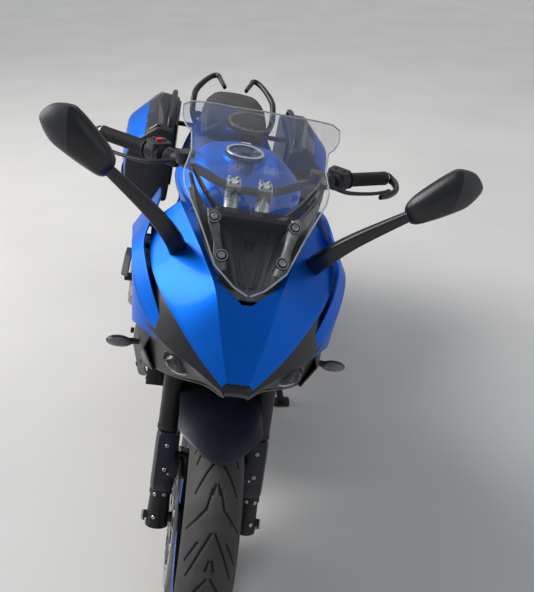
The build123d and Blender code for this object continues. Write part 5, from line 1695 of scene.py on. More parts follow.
@dataclass
class Drive(Maker):
    """Details of the engine, frame, radiator, exhaust, shock, chain and footrests, and the plate."""

    chain_x: float = 112.0
    pitch: float = 15.875
    # y, z and pitch radius of both sprockets
    small_sprocket: Point = (60.0, 400.0, 43.2)
    large_sprocket: Point = (730.0, 311.0, 111.3)

    def build(self) -> None:
        """Make the drive's pieces."""
        self.covers()
        self.frame()
        self.radiator()
        self.exhaust()
        self.shock()
        self.chain()
        self.rests()

    def covers(self) -> None:
        """Stepped covers on the crankcase with their rings of screws, and ribs on the sump."""
        parts, spots = [], []
        for side, x, y, z, r in ((1, 204, -190, 395, 62), (-1, 204, -60, 400, 72), (-1, 200, -200, 385, 50)):
            outline = [(-8, 0), (-8, r + 6), (-2, r + 6), (1, r + 1), (3, r - 8), (3, r * 0.62), (8, r * 0.55),
                       (8, r * 0.3), (5, r * 0.24), (5, 0)]
            parts.append(lathe(outline, (side * x, y, z), Vector((side, 0, 0)), 64, closed=False))
            for k in range(8):
                a = 2 * math.pi * (k + 0.5) / 8
                spots.append(((side * (x - 1), y + (r + 1) * math.cos(a), z + (r + 1) * math.sin(a)),
                              (side, 0, 0)))
        for k in range(9):
            y = -218 + k * 24
            parts.append(slab(((-118, y), (118, y), (118, y + 4), (-118, y + 4)), 188, 196, Axis.Z, 1, 1))
            for side in Side:
                parts.append(slab(((y, 198), (y + 4, 198), (y + 4, 296), (y, 296)),
                                  *sorted((side * 119, side * 125)), Axis.X, 1, 1))
        self.shop.place("engine_covers", merge(parts), Paint.ENGINE, Body.CHASSIS, slot="engine")
        for side in Side:
            for y, z in ((-240, 312), (-240, 480), (-130, 484), (-20, 484), (-20, 312), (-130, 308)):
                spots.append(((side * 178.2, y, z), (side, 0, 0)))
        self.bolts("engine_screws", spots, 5.0, 5.0, Paint.ZINC, Body.CHASSIS)

    def frame(self) -> None:
        """Bolts on the frame plates, and the swing arm's pivot caps, axle nuts and chain adjusters."""
        spots, caps, blocks = [], [], []
        for side in Side:
            for y, z in ((8, 628), (58, 640), (112, 560), (60, 320), (96, 300), (70, 470)):
                spots.append(((side * 188.2, y, z), (side, 0, 0)))
            for x, y, z, r in ((196, 150, 405, 20), (190, -230, 655, 15)):
                outline = [(0, 0), (0, r), (3, r), (5, r - 2), (5, r * 0.5), (2, r * 0.45), (2, 0)]
                caps.append(lathe(outline, (side * x, y, z), Vector((side, 0, 0)), 36, closed=False))
            nut = [(REAR_AXLE[0] + 15 * math.cos(a), REAR_AXLE[1] + 15 * math.sin(a))
                   for a in (math.radians(60 * k) for k in range(6))]
            caps.append(slab(nut, *sorted((side * 164, side * 174)), Axis.X, 1.2, 1))
            blocks.append(slab(((708, 297), (756, 297), (756, 325), (708, 325)),
                               *sorted((side * 155, side * 160)), Axis.X, 1.5, 2))
            blocks.append(tube([(side * 142, 776, 311), (side * 142, 796, 311)], 4.5, 12))
        self.bolts("frame_bolts", spots, 7.0, 5.0, Paint.ZINC, Body.CHASSIS)
        self.shop.place("pivot_caps", merge(caps), Paint.STEEL, Body.CHASSIS)
        self.shop.place("chain_adjusters", merge(blocks), Paint.ALLOY, Body.CHASSIS)

    def radiator(self) -> None:
        """The radiator's core of thin fins and its side tanks' seams."""
        up, ahead = leaned(14)
        base = Vector((0, -428, 455))
        unit = slab(((-140, -1.5), (140, -1.5), (140, 1.5), (-140, 1.5)), -0.7, 0.7, Axis.Z)
        spots = [(tuple(base + up * (10 + 4.6 * k) + ahead * 17.5), up) for k in range(48)]
        self.many("radiator_fins", unit, spots, Paint.FIN, Body.CHASSIS)
        bars = []
        for x in (-152, -146, 146, 152):
            line = [tuple(base + up * s + ahead * 17.2 + Vector((x, 0, 0))) for s in (4, 234)]
            bars.append(tube(line, 2.2, 8))
        self.shop.place("radiator_seams", merge(bars), Paint.ALLOY_BLACK, Body.CHASSIS)

    def exhaust(self) -> None:
        """The silencer's end cap with its outlet, the clamps and the heat guard."""
        start, end = Vector((-232, 250, 262)), Vector((-250, 480, 360))
        way = (end - start).normalized()
        tail = Vector((-252, 505, 371))
        cap = lathe([(-14, 0), (-14, 41), (-3, 43.5), (2, 41), (3, 34), (0, 26), (-10, 24), (-10, 0)],
                    tuple(tail), way, 56, closed=False)
        self.shop.place("silencer_cap", cap, Paint.SATIN_PLASTIC, Body.CHASSIS, slot="alloy_black")
        bands = []
        for s in (26, 205):
            spot = start + way * s
            bands.append(lathe([(-8, 50), (-8, 53.6), (8, 53.6), (8, 50)], tuple(spot), way, 56))
        for spot in (Vector((-140, 140, 200)), Vector((-186, 195, 231))):
            bands.append(lathe([(-7, 22), (-7, 27), (7, 27), (7, 22)], tuple(spot), Vector((-0.6, 0.65, 0.42)),
                               36))
        self.shop.place("exhaust_clamps", merge(bands), Paint.STEEL, Body.CHASSIS)
        rows: Rows = []
        across = way.cross(Vector((0, 0, 1))).normalized()
        rise = across.cross(way)
        for k in range(13):
            spot = start + way * (52 + 126 * k / 12)
            narrow = 0.62 + 0.38 * math.sin(math.pi * k / 12)
            row = []
            for i in range(13):
                a = math.radians(180 + 75 * narrow * (i / 6 - 1))
                row.append(tuple(spot + (across * -math.cos(a) + rise * math.sin(a)) * 58))
            rows.append(row)
        guard = shell(rows, 2.0)
        self.shop.place("heat_guard", guard, Paint.SATIN_PLASTIC, Body.CHASSIS, smooth=40)

    def shock(self) -> None:
        """The rear shock's spring."""
        low, high = Vector((0, 231, 444)), Vector((0, 181, 606))
        way = (high - low).normalized()
        side = Vector((1, 0, 0))
        up = way.cross(side)
        line = []
        for k in range(161):
            a = 2 * math.pi * 7 * k / 160
            line.append(tuple(low + (high - low) * (k / 160) + (side * math.cos(a) + up * math.sin(a)) * 34))
        self.shop.place("shock_spring", tube(line, 5.0, 10), Paint.RIM_STRIPE, Body.CHASSIS)

    def chain(self) -> None:
        """Side plates of the drive chain's links, one pitch apart round both sprockets."""
        (y0, z0, r0), (y1, z1, r1) = self.small_sprocket, self.large_sprocket
        span = math.hypot(y1 - y0, z1 - z0)
        slope = math.atan2(z1 - z0, y1 - y0)
        wrap = math.asin((r1 - r0) / span)
        path: list[Vector] = []
        for y, z, r, first, last in ((y1, z1, r1, math.pi / 2 + wrap, -math.pi / 2 - wrap),
                                     (y0, z0, r0, -math.pi / 2 - wrap, -3 * math.pi / 2 + wrap)):
            for k in range(41):
                a = slope + first + (last - first) * k / 40
                path.append(Vector((self.chain_x, y + r * math.cos(a), z + r * math.sin(a))))
        path.append(path[0])
        long = sum((b - a).length for a, b in zip(path, path[1:]))
        count = round(long / self.pitch / 2) * 2
        spots: list[list[tuple[Point, Vector]]] = [[], []]
        walked, k = 0.0, 0
        for a, b in zip(path, path[1:]):
            step = (b - a).length
            while k < count and (k + 0.5) * long / count <= walked + step:
                spot = a + (b - a) * (((k + 0.5) * long / count - walked) / step)
                spots[k % 2].append((tuple(spot), (b - a).normalized()))
                k += 1
            walked += step
        parts = []
        for half, group in zip((8.6, 6.4), spots):
            plates = []
            for side in (-1, 1):
                outline = [(5.0, 0), (6.4, 4.5), (6.4, 9.5), (3.4, 13.6), (-3.4, 13.6), (-6.4, 9.5),
                           (-6.4, 4.5), (-5.0, 0),
                           (-6.4, -4.5), (-6.4, -9.5), (-3.4, -13.6), (3.4, -13.6), (6.4, -9.5), (6.4, -4.5)]
                plates.append(slab(outline, side * half - 0.9, side * half + 0.9, Axis.X))
            parts.append(repeated(merge(plates), group, Paint.CHAIN))
        self.shop.place("chain_links", merge(parts), Paint.CHAIN, Body.CHASSIS, slot="chain")

    def rests(self) -> None:
        """Ribbed rubbers on the footrests, the rests' bolts, and the blank plate."""
        parts, spots = [], []
        for side in Side:
            for start, end, r in (((222, 229, 369), (300, 220, 372), 11),
                                  ((216, 425, 485), (285, 430, 486), 10)):
                a, b = Vector(start), Vector(end)
                a.x, b.x = a.x * side, b.x * side
                long = (b - a).length
                outline = [(0, r - 1)]
                s = 0.0
                while s < long - 4:
                    outline += [(s, r + 3.5), (s + 4, r + 3.5), (s + 4.5, r + 2), (s + 6, r + 2)]
                    s += 6.5
                outline += [(long + 2, r + 2), (long + 3, 0)]
                parts.append(lathe([(0, 0), *outline], tuple(a), b - a, 24, closed=False))
            for y, z in ((130, 500), (225, 380), (160, 520), (400, 488)):
                spots.append(((side * 196.2, y, z), (side, 0, 0)))
        self.shop.place("footrest_rubbers", merge(parts), Paint.RUBBER, Body.CHASSIS)
        self.bolts("rest_bolts", spots, 6.0, 4.5, Paint.ZINC, Body.CHASSIS)
        plate_up, plate_out = Vector((0, -0.51, 0.86)), Vector((0, 0.86, 0.51))
        plate = slab(rounded(162, 102, 8), 0.2, 1.8, Axis.Z, 0.6, 1)
        placing = Matrix((Vector((1, 0, 0)), plate_up, plate_out)).transposed().to_4x4()
        placing.translation = Vector((0, 1072, 600)) + plate_out * 5
        plate.transform(placing)
        bmesh.ops.recalc_face_normals(plate, faces=plate.faces)
        self.shop.place("blank_plate", plate, Paint.PLATE, Body.CHASSIS)


@dataclass
class Controls(Maker):
    """Handlebar clamps, grips, levers, switches and reservoirs."""

    # both ends of the left grip
    grip_ends: tuple[Point, Point] = ((240, -306, 1041), (345, -243, 1037))

    def build(self) -> None:
        """Make the pieces of the handlebar."""
        self.bar()
        self.switches()
        self.levers()

    def bar(self) -> None:
        """The bar with its bright risers, ribbed grips and end weights."""
        half = [(0, -400, 1014), (36, -400, 1014), (74, -398, 1026), (110, -392, 1040), (150, -364, 1043),
                (200, -330, 1043), (280, -282, 1040), (353, -238, 1036)]
        arm = tube(half, 11, 20, steps=3)
        arms = paired(arm)
        self.shop.place("handlebar_tube", arms, Paint.SATIN_PLASTIC, Body.STEERING, slot="alloy_black",
                        replaces=("handlebar",))
        up = leaned(RAKE_DEG)[0]
        risers = []
        for side in Side:
            top = Vector((side * 36, -400, 1014))
            base = top - up * 64
            risers.append(lathe([(0, 0), (0, 19), (8, 19), (12, 16.5), (44, 16.5), (50, 18), (50, 0)],
                                tuple(base), up, 36, closed=False))
            block = slab(rounded(44, 40, 9), top.x - 16, top.x + 16, Axis.X, 3, 3)
            for vert in block.verts:
                vert.co += Vector((0, top.y, top.z))
            risers.append(block)
        self.shop.place("bar_risers", merge(risers), Paint.ALLOY, Body.STEERING, slot="alloy")
        spots = []
        for side in Side:
            for dx in (-9, 9):
                for dy in (-14, 14):
                    spots.append(((side * 36 + dx, -400 + dy, 1033.8), (0, 0, 1)))
        self.bolts("riser_bolts", spots, 4.4, 4.0, Paint.STEEL, Body.STEERING)
        start, end = (Vector(point) for point in self.grip_ends)
        way = (end - start).normalized()
        outline = [(0, 11.2), (0, 21), (4, 21), (6, 17)]
        long = (end - start).length
        s = 8.0
        while s < long - 8:
            outline += [(s, 16.8), (s + 2.2, 16.8), (s + 2.6, 16.0), (s + 3.8, 16.0)]
            s += 4.2
        outline += [(long - 3, 17.5), (long, 17), (long, 11.2)]
        grip = lathe(outline, tuple(start), way, 36)
        self.shop.place("grips", paired(grip), Paint.RUBBER, Body.STEERING)
        weight = lathe([(0, 0), (0, 15), (2, 16.8), (5, 16.8), (6.5, 15), (16, 14), (19, 11), (19, 0)],
                       tuple(end + way * 1.5), way, 36, closed=False)
        ring_band = lathe([(0, 15.5), (0, 17.3), (3.0, 17.3), (3.0, 15.5)], tuple(end + way * 4.0), way, 40)
        self.shop.place("bar_weights", paired(weight), Paint.ALLOY_BLACK, Body.STEERING)
        self.shop.place("bar_rings", paired(ring_band), Paint.ALLOY, Body.STEERING)

    def switches(self) -> None:
        """Switch pods with buttons and the red switch, and the fluid reservoirs with a sight glass."""
        parts = []
        pod = tube([(198, -331, 1043), (203, -328, 1043), (232, -310, 1041), (238, -306, 1041)],
                   [17, 23.5, 23.5, 18], 28)
        perch = tube([(162, -354, 1042), (168, -350, 1042), (192, -335, 1043), (196, -332, 1043)],
                     [15, 19.5, 19.5, 15], 24)
        neck = tube([(180, -345, 1043), (168, -366, 1052), (152, -390, 1061)], [13, 12, 11], 20)
        box = slab(rounded(48, 42, 8), -20, 15, Axis.Z, 4, 3)
        turn = Matrix.Rotation(math.radians(-32), 4, "Z")
        turn.translation = Vector((214, -316, 1052))
        box.transform(turn)
        for piece in (pod, perch, neck, box):
            parts += [mirrored(piece), piece]
        self.shop.place("switch_pods", merge(parts), Paint.BLACK_PLASTIC, Body.STEERING, slot="trim_black",
                        replaces=("hand_controls",))
        cup = lathe([(0, 0), (0, 19), (3, 21), (17, 21), (18, 23), (23, 23), (25, 20), (25, 0)],
                    (150, -394, 1056), Vector((0.1, 0.1, 1)), 40, closed=False)
        self.shop.place("fluid_reservoirs", paired(cup), Paint.SATIN_PLASTIC, Body.STEERING)
        sight = lathe([(0, 0), (0, 6.5), (1.6, 6.5), (1.6, 5.0), (0.6, 4.6), (0.6, 0)], (-134, -412, 1068),
                      Vector((0.5, -0.9, 0.1)), 28, closed=False)
        self.shop.place("sight_glass", sight, Paint.ZINC, Body.STEERING)
        red = slab(rounded(15, 9, 3), 0, 6, Axis.Z, 1.5, 2)
        place = Matrix.Rotation(math.radians(32), 4, "Z")
        place.translation = Vector((-214, -316, 1066.8))
        red.transform(place)
        self.shop.place("stop_switch", red, Paint.RED_SWITCH, Body.STEERING)
        spots = [((206, -306, 1067.2), (0, 0, 1)), ((224, -318, 1067.2), (0, 0, 1)),
                 ((-202, -308, 1067.2), (0, 0, 1)), ((-226, -306, 1067.2), (0, 0, 1))]
        button = lathe([(0, 0), (0, 4.5), (2.4, 4.2), (3, 3.2), (3, 0)], (0, 0, 0), Vector((0, 0, 1)), 20,
                       closed=False)
        self.many("switch_buttons", button, spots, Paint.GREY_PLASTIC, Body.STEERING)

    def levers(self) -> None:
        """Blade-shaped levers and the guards outside them."""
        lever = tube([(160, -380, 1054), (196, -376, 1044), (235, -370, 1034), (300, -334, 1027),
                      (346, -300, 1025), (354, -292, 1025)], [8, 7.5, 6.5, 5.5, 5.5, 7], 16, flat=0.7, steps=6)
        guard = tube([(364, -233, 1036), (373, -262, 1034), (368, -298, 1031), (344, -330, 1029),
                      (318, -352, 1029)],
                     [9, 8, 7, 7, 5.5], 16, flat=1.25, steps=6)
        pivot = lathe([(0, 0), (0, 8.5), (15, 8.5), (16, 6), (16, 0)], (163, -379, 1048), Vector((0, 0.2, 1)),
                      24, closed=False)
        whole = merge((lever, guard, pivot))
        self.shop.place("lever_set", paired(whole), Paint.SATIN_PLASTIC, Body.STEERING,
                        slot="alloy_black", replaces=("levers",))


@dataclass
class Bodywork(Maker):
    """Tank, cap, seats and tail."""

    # y, then the low corner, side, shoulder (x, z) and the top's z
    tank_rows: tuple = (
        (-312, (52, 876), (70, 890), (44, 904), 910),
        (-262, (85, 860), (128, 900), (86, 948), 966),
        (-160, (138, 846), (164, 918), (104, 984), 1000),
        (-60, (150, 830), (170, 910), (100, 984), 1000),
        (50, (132, 802), (152, 874), (78, 944), 962),
        (150, (80, 780), (97, 808), (56, 842), 852),
    )
    rider_rows: tuple = (
        (96, (66, 786), (74, 800), (58, 816), 822),
        (180, (116, 784), (128, 798), (104, 816), 823),
        (320, (152, 784), (160, 800), (130, 817), 824),
        (428, (144, 790), (152, 816), (120, 838), 842),
    )
    pillion_rows: tuple = (
        (428.3, (104, 842), (114, 852), (92, 866), 872),
        (500, (122, 852), (130, 884), (104, 908), 912),
        (620, (116, 862), (124, 912), (94, 940), 948),
        (700, (78, 872), (86, 902), (64, 922), 926),
    )
    cap_foot: Point = (0, -147, 1004)

    def build(self) -> None:
        """Make the pieces of the middle and the tail."""
        self.tank()
        self.seats()
        self.tail()

    @staticmethod
    def crowned(table: Sequence[tuple], along: int, across: int, ends: float = 0.0) -> Mesh:
        """A closed smooth body through sections with a round top.

        Args:
            table: rows of y, low corner, side, shoulder and the top's height.
            along: steps between sections.
            across: steps between a section's points.
            ends: how far the end sections are drawn in again, in millimetres, for rounded ends.

        Returns:
            The closed body.
        """
        rows: Rows = []
        for y, low, side, shoulder, top in table:
            drop = top - shoulder[1]
            half = [(0, top), (shoulder[0] * 0.55, top - drop * 0.3), shoulder, side, low,
                    (low[0] * 0.5, low[1])]
            rows.append([(x, y, z) for x, z in both(half)])
        fine = smoothed(rows, along, across, (1, 9))
        for at in (0, -1):
            middle = sum((Vector(p) for p in fine[at]), Vector()) / len(fine[at])
            drawn = [tuple(middle + (Vector(p) - middle) * (1 - ends / 60)) for p in fine[at]]
            fine = [drawn, *fine] if at == 0 else [*fine, drawn]
        mesh = grid(fine, wrap=True, cap=True)
        bmesh.ops.remove_doubles(mesh, verts=mesh.verts, dist=0.01)
        return outward(mesh)

    def tank(self) -> None:
        """The round-topped tank with the lugs of its hinge, and its cap with a pale ring and screws."""
        body = self.crowned(self.tank_rows, 10, 6, 3.0)
        pad = lathe([(0, 0), (0, 56), (22.5, 56), (24, 54.5), (24, 0)],
                    tuple(Vector(self.cap_foot) - Vector((0, 0, 24))), Vector((0, 0, 1)), 72, closed=False)
        lugs = []
        for side in Side:
            lug = slab([(-214, 990), (-204, 990), (-204, 1011), (-207, 1014), (-212, 1014), (-214, 1011)],
                       *sorted((side * 14.3, side * 20.3)), Axis.X, 0.8, 1)
            lugs.append(lug)
        self.shop.place("tank_shell", merge((body, pad)), Paint.BLUE, Body.CHASSIS, slot="body_blue",
                        replaces=("fuel_tank",), smooth=50)
        self.shop.place("cap_lugs", merge(lugs), Paint.ALLOY_BLACK, Body.CHASSIS)
        top = Vector(self.cap_foot) + Vector((0, 0, 0.3))
        cap = lathe([(0, 0), (0, 51), (8, 51), (10, 50), (10, 41), (6, 39), (6, 16), (8.5, 15), (8.5, 0)],
                    tuple(top), Vector((0, 0, 1)), 72, closed=False)
        hinge = tube([(-14, -209, 1010), (14, -209, 1010)], 5, 20)
        arm = slab([(-209, 1006), (-190, 1006), (-190, 1013), (-209, 1013)], -10, 10, Axis.X, 1.0, 1)
        flap = slab(rounded(26, 40, 8), 0, 3, Axis.Z, 1.2, 2)
        for vert in flap.verts:
            vert.co += top + Vector((0, 6, 8.2))
        self.shop.place("cap_body", merge((cap, hinge, arm, flap)), Paint.ALLOY_BLACK, Body.TANK_CAP,
                        slot="alloy", replaces=("fuel_cap",))
        pale = lathe([(9.6, 42), (9.6, 50.4), (11.6, 49.6), (12.0, 47), (12.0, 44), (11.4, 42)], tuple(top),
                     Vector((0, 0, 1)), 72)
        self.shop.place("cap_ring", pale, Paint.WHITE_RING, Body.TANK_CAP, slot="alloy")
        spots = [(tuple(top + Vector((30 * math.cos(a), 30 * math.sin(a), 6))), (0, 0, 1))
                 for a in (math.radians(60 * k + 30) for k in range(6))]
        self.bolts("cap_screws", spots, 3.4, 2.4, Paint.STEEL, Body.TANK_CAP)

    def seats(self) -> None:
        """Rider's and pillion's padded seats, each with a sewn border and two cross channels."""
        for name, table, node, narrow in (("rider_pad", self.rider_rows, "rider_seat", 0.0),
                                          ("pillion_pad", self.pillion_rows, "pillion_seat", 0.26)):
            start, end = table[0][0], table[-1][0]
            table = [(y + (4 if i == 0 else -4 if i == len(table) - 1 else 0), *row)
                     for i, (y, *row) in enumerate(table)]
            raw = self.crowned(table, 8, 4, 4.0)
            for vert in raw.verts:
                vert.co.x *= 0.97 - narrow * (vert.co.y - start) / (end - start)
                vert.co.z -= 2.5
            pad = Upholstery(raw).padded()
            low = min(vert.co.z for vert in pad.verts)
            for vert in pad.verts:
                half = self.half_width(table, vert.co.y) * (1 - narrow * (vert.co.y - start) / (end - start))
                edge = abs(vert.co.x) / half
                channel = math.exp(-((edge - 0.86) * half / 2.6) ** 2)
                for share in (0.34, 0.72):
                    y = start + share * (end - start)
                    if edge < 0.86:
                        channel = max(channel, math.exp(-((vert.co.y - y - 14 * edge ** 2) / 2.4) ** 2))
                if vert.normal.z > 0.2 and vert.co.z > low + 6:
                    vert.co -= vert.normal * 2.2 * channel
            piece = self.shop.place(name, pad, Paint.SEAT, Body.CHASSIS, slot="seat", replaces=(node,),
                                    smooth=60)

    @staticmethod
    def half_width(table: Sequence[tuple], y: float) -> float:
        """Half the width of a crowned body's side at a place along it.

        Args:
            table: the body's rows, as in crowned.
            y: the place.

        Returns:
            Half the width there.
        """
        for low, high in zip(table, table[1:]):
            if y <= high[0]:
                share = max(0.0, (y - low[0]) / (high[0] - low[0]))
                return low[2][0] + (high[2][0] - low[2][0]) * share
        return table[-1][2][0]

    def tail(self) -> None:
        """Tail panels, hand hooks and the tail lamp's lens."""
        rows = (
            ((118, 110, 778), (156, 110, 760), (150, 110, 720)),
            ((160, 330, 778), (174, 330, 745), (150, 330, 700)),
            ((134, 470, 830), (160, 470, 790), (135, 470, 730)),
            ((96, 700, 866), (112, 700, 830), (96, 700, 780)),
            ((60, 800, 880), (72, 800, 850), (60, 800, 815)),
        )
        panel = soften(shell(smoothed([list(row) for row in rows], 6, 6, (1,)), 4.0), 0.8, 2, 55)
        end = slab([(706, 866), (812, 878), (838, 850), (812, 815), (760, 815)], -60, 60, Axis.X, 3, 3)
        self.shop.place("tail_panels", merge((mirrored(panel), panel, end)), Paint.BLUE, Body.CHASSIS,
                        slot="body_blue", replaces=("tail_cowl",), smooth=32)
        hook = tube([(97, 565, 778), (124, 582, 822), (144, 600, 862), (146, 645, 900), (140, 690, 922),
                     (112, 740, 946),
                     (84, 780, 958), (66, 775, 961), (58, 745, 958), (46, 712, 950), (40, 690, 946)],
                    [9, 10, 11, 11, 11, 10, 10, 10, 9, 8.5, 8], 20, flat=0.9, steps=4)
        self.shop.place("hand_hooks", paired(hook), Paint.SATIN_PLASTIC, Body.CHASSIS,
                        slot="alloy_black", replaces=("grab_rails",))
        lens = slab([(838, 850), (814, 877), (828, 880), (858, 852), (832, 822), (818, 822)], -55, 55, Axis.X,
                    2.5, 3)
        self.shop.place("tail_lens", lens, Paint.RED, Body.CHASSIS, slot="red_lens", replaces=("tail_lamp",))


@dataclass
class Upholstery:
    """Swells a body into a padded cushion with a cloth simulation.

    Attributes:
        body: a closed body in millimetres, a little smaller than the cushion.
        voxel: size of the remesh in metres.
        limit: how far the cloth may move a point, in metres.
    """

    body: Mesh
    voxel: float = 0.005
    limit: float = 0.007

    def padded(self) -> Mesh:
        """Remesh the body, which is freed here, and blow it up as cloth.

        Returns:
            The cushion in millimetres.
        """
        self.body.transform(Matrix.Scale(0.001, 4))
        cushion = as_object("cushion", self.body)
        step = cushion.modifiers.new("remesh", "REMESH")
        step.mode = "VOXEL"
        step.voxel_size = self.voxel
        pad = as_object("cushion", plain(cushion))
        self.inflate(pad)
        smoother = pad.modifiers.new("round", "SUBSURF")
        smoother.levels = 1
        result = plain(pad)
        result.transform(Matrix.Scale(1000, 4))
        result.normal_update()
        return result

    def inflate(self, pad: bpy.types.Object) -> None:
        """Run the cloth for twenty frames and keep its capped movement.

        Args:
            pad: the remeshed cushion; its points are moved.
        """
        low = min(vert.co.z for vert in pad.data.vertices)
        held = pad.vertex_groups.new(name="held")
        held.add([vert.index for vert in pad.data.vertices if vert.co.z < low + 0.006], 1.0, "REPLACE")
        start = [vert.co.copy() for vert in pad.data.vertices]
        cloth = pad.modifiers.new("cloth", "CLOTH")
        cloth.settings.use_pressure = True
        cloth.settings.uniform_pressure_force = 4.0
        cloth.settings.effector_weights.gravity = 0.0
        cloth.settings.vertex_group_mass = "held"
        cloth.settings.tension_stiffness = 20
        cloth.settings.compression_stiffness = 20
        scene = bpy.context.scene
        for frame in range(1, 21):
            scene.frame_set(frame)
        graph = bpy.context.evaluated_depsgraph_get()
        moved = [vert.co.copy() for vert in pad.evaluated_get(graph).data.vertices]
        pad.modifiers.clear()
        for vert, old, new in zip(pad.data.vertices, start, moved):
            shift = new - old
            vert.co = old + (shift.normalized() * min(shift.length, self.limit) if shift.length else shift)
        scene.frame_set(1)


@dataclass
class Luggage(Maker):
    """The two side cases: hollow black shells with blue chamfered lids, latches, hinges and handles."""

    # y, then (x, z) of the case outline, from the inner bottom round the top to the outer bottom
    case_rows: tuple = (
        (372, ((196, 600), (196, 856), (250, 864), (326, 800), (346, 760), (348, 690), (340, 640), (290, 600))),
        (600, ((196, 574), (196, 893), (266, 906), (366, 806), (376, 700), (373, 650), (360, 606), (320, 575))),
        (830, ((196, 590), (196, 844), (262, 850), (346, 764), (360, 700), (358, 650), (344, 612), (310, 586))),
    )
    # where the case opens along X, half the gap there, and the wall
    split: float = 292.0
    gap: float = 0.4
    wall: float = 4.0

    def build(self) -> None:
        """Make both cases."""
        inside, outside = self.split - self.gap, self.split + self.gap
        shell_part, lid = self.opened(inside, -1), self.opened(outside, 1)
        for face in lid.faces:
            if face.calc_center_median().y < 378:
                face.material_index = 1
        knuckle = tube([(self.split, 479, 562), (self.split, 701, 562)], 7.5, 20)
        leaf = slab(((479, 562), (701, 562), (701, 586), (479, 586)), self.split + 0.6, self.split + 8, Axis.X,
                    1.0, 1)
        latches = []
        for y in (470, 720):
            out = self.outline_at(y)[5]
            for low, high, rise, thick in ((-30, 26, 0, 8), (-16, 20, 8, 4)):
                shape = [(y + a * (0.7 if rise else 1), out[1] - 8 + b * (0.7 if rise else 1))
                         for a, b in rounded(52, high - low, 8)]
                latches.append(slab(shape, out[0] - 6 + rise, out[0] - 6 + rise + thick, Axis.X, 1.5, 2))
        lid_parts = [lid, tint(merge((knuckle, leaf, *latches)), 1)]
        panel = self.panel()
        block = ((200, 500), (1000, 500), (1000, 1000), (200, 1000))
        near, far = cut(panel.copy(), slab(block, inside, 500)), cut(panel, slab(block, 100, outside))
        handle_line = [(214, y, z)
                       for y, z in ((398, 862), (424, 884), (500, 903), (610, 909), (700, 898), (726, 874))]
        handle = tube(handle_line, [8, 9, 10, 10, 9, 8], 18, flat=0.7, steps=8)
        pins = [tube([(self.split, 468, 562), (self.split, 478, 562)], 5, 16),
                tube([(self.split, 702, 562), (self.split, 712, 562)], 5, 16)]
        for y in (468, 702):
            pins.append(slab(((y, 555), (y + 10, 555), (y + 10, 592), (y, 592)), self.split - 12,
                             self.split - 0.5, Axis.X, 1.0, 1))
        for side in (Side.RIGHT, Side.LEFT):
            turn = mirrored if side is Side.RIGHT else Mesh.copy
            self.shop.place(f"case_shell_{side.word}", merge([turn(shell_part), *(turn(p) for p in pins)]),
                            Paint.BLACK_PLASTIC, Body.CHASSIS, slot="trim_black",
                            replaces=(f"case_{side.word}",), smooth=32)
            self.shop.place(f"case_handle_{side.word}", turn(handle), Paint.SATIN_PLASTIC, Body.CHASSIS)
            self.shop.place(f"case_panel_{side.word}", turn(near), Paint.CASE_PANEL, Body.CHASSIS)
            lid_body = Body.LEFT_LID if side is Side.LEFT else Body.RIGHT_LID
            self.shop.place(f"lid_panel_{side.word}", turn(far), Paint.CASE_PANEL, lid_body)
            self.shop.place(f"lid_shell_{side.word}", merge([turn(p) for p in lid_parts]), Paint.BLUE, lid_body,
                            slot="body_blue", replaces=(f"case_lid_{side.word}",), smooth=32,
                            extra=(Paint.BLACK_PLASTIC,))

    def opened(self, place: float, way: int) -> Mesh:
        """One side of the split case, as a hollow shell with a flat rim.

        Args:
            place: where the shell ends along X.
            way: 1 for the lid, outside that place, and -1 for the part inside it.

        Returns:
            The closed shell; the lid's inside has material index 1.
        """
        outer, inner = self.body(0.0), self.body(self.wall)
        bmesh.ops.reverse_faces(inner, faces=inner.faces)
        mesh = merge((outer, tint(inner, 1 if way > 0 else 0)))
        bmesh.ops.bisect_plane(mesh, geom=[*mesh.verts, *mesh.edges, *mesh.faces], plane_co=(place, 0, 0),
                               plane_no=(-way, 0, 0), clear_outer=True)
        bmesh.ops.bridge_loops(mesh, edges=[edge for edge in mesh.edges if edge.is_boundary])
        return outward(mesh)

    def outline_at(self, y: float) -> list[Pair]:
        """The case's outline at a place along it.

        Args:
            y: the place.

        Returns:
            The outline's points as (x, z).
        """
        low, high = next((a, b) for a, b in zip(self.case_rows, self.case_rows[1:]) if y <= b[0])
        share = (y - low[0]) / (high[0] - low[0])
        lift = 4 * share * (1 - share) * 6
        return [(a + (c - a) * share, b + (d - b) * share + (lift if 0 < i < 4 else 0))
                for i, ((a, b), (c, d)) in enumerate(zip(low[1], high[1]))]

    def panel(self) -> Mesh:
        """The glossy inset panel on top of the case and its lid.

        Returns:
            The closed panel, still in one piece.
        """
        rows: Rows = []
        for k in range(17):
            y = 386 + (694 - 386) * k / 16
            points = self.outline_at(y)
            inner = Vector(points[1]) + Vector((40, 3))
            bend = Vector(points[2])
            outer = bend + (Vector(points[3]) - bend) * 0.42
            draw = 10 if k in (0, 16) else 0
            line = [inner + Vector((draw, 0)), (inner + bend) / 2, bend,
                    outer - (outer - bend).normalized() * draw]
            rows.append([(x, y, z + 2.0) for x, z in line])
        return soften(shell(smoothed(rows, 1, 4, (2,)), 7.0), 1.5, 2, 50)

    def body(self, wall: float) -> Mesh:
        """The case's outer form, or its hollow when given a wall.

        Args:
            wall: how far the form is drawn in.

        Returns:
            A closed mesh with rounded corners and ends.
        """
        rows: Rows = []
        for y, points in self.case_rows:
            soft = self.filleted(points, 16.0)
            rows.append([(x, y, z) for x, z in (shrunk(soft, wall) if wall else soft)])
        fine = smoothed([[*row, row[0]] for row in rows], 8, 1)
        fine = [row[:-1] for row in fine]
        first, last = fine[0], fine[-1]
        y0, y1 = first[0][1] + wall, last[0][1] - wall

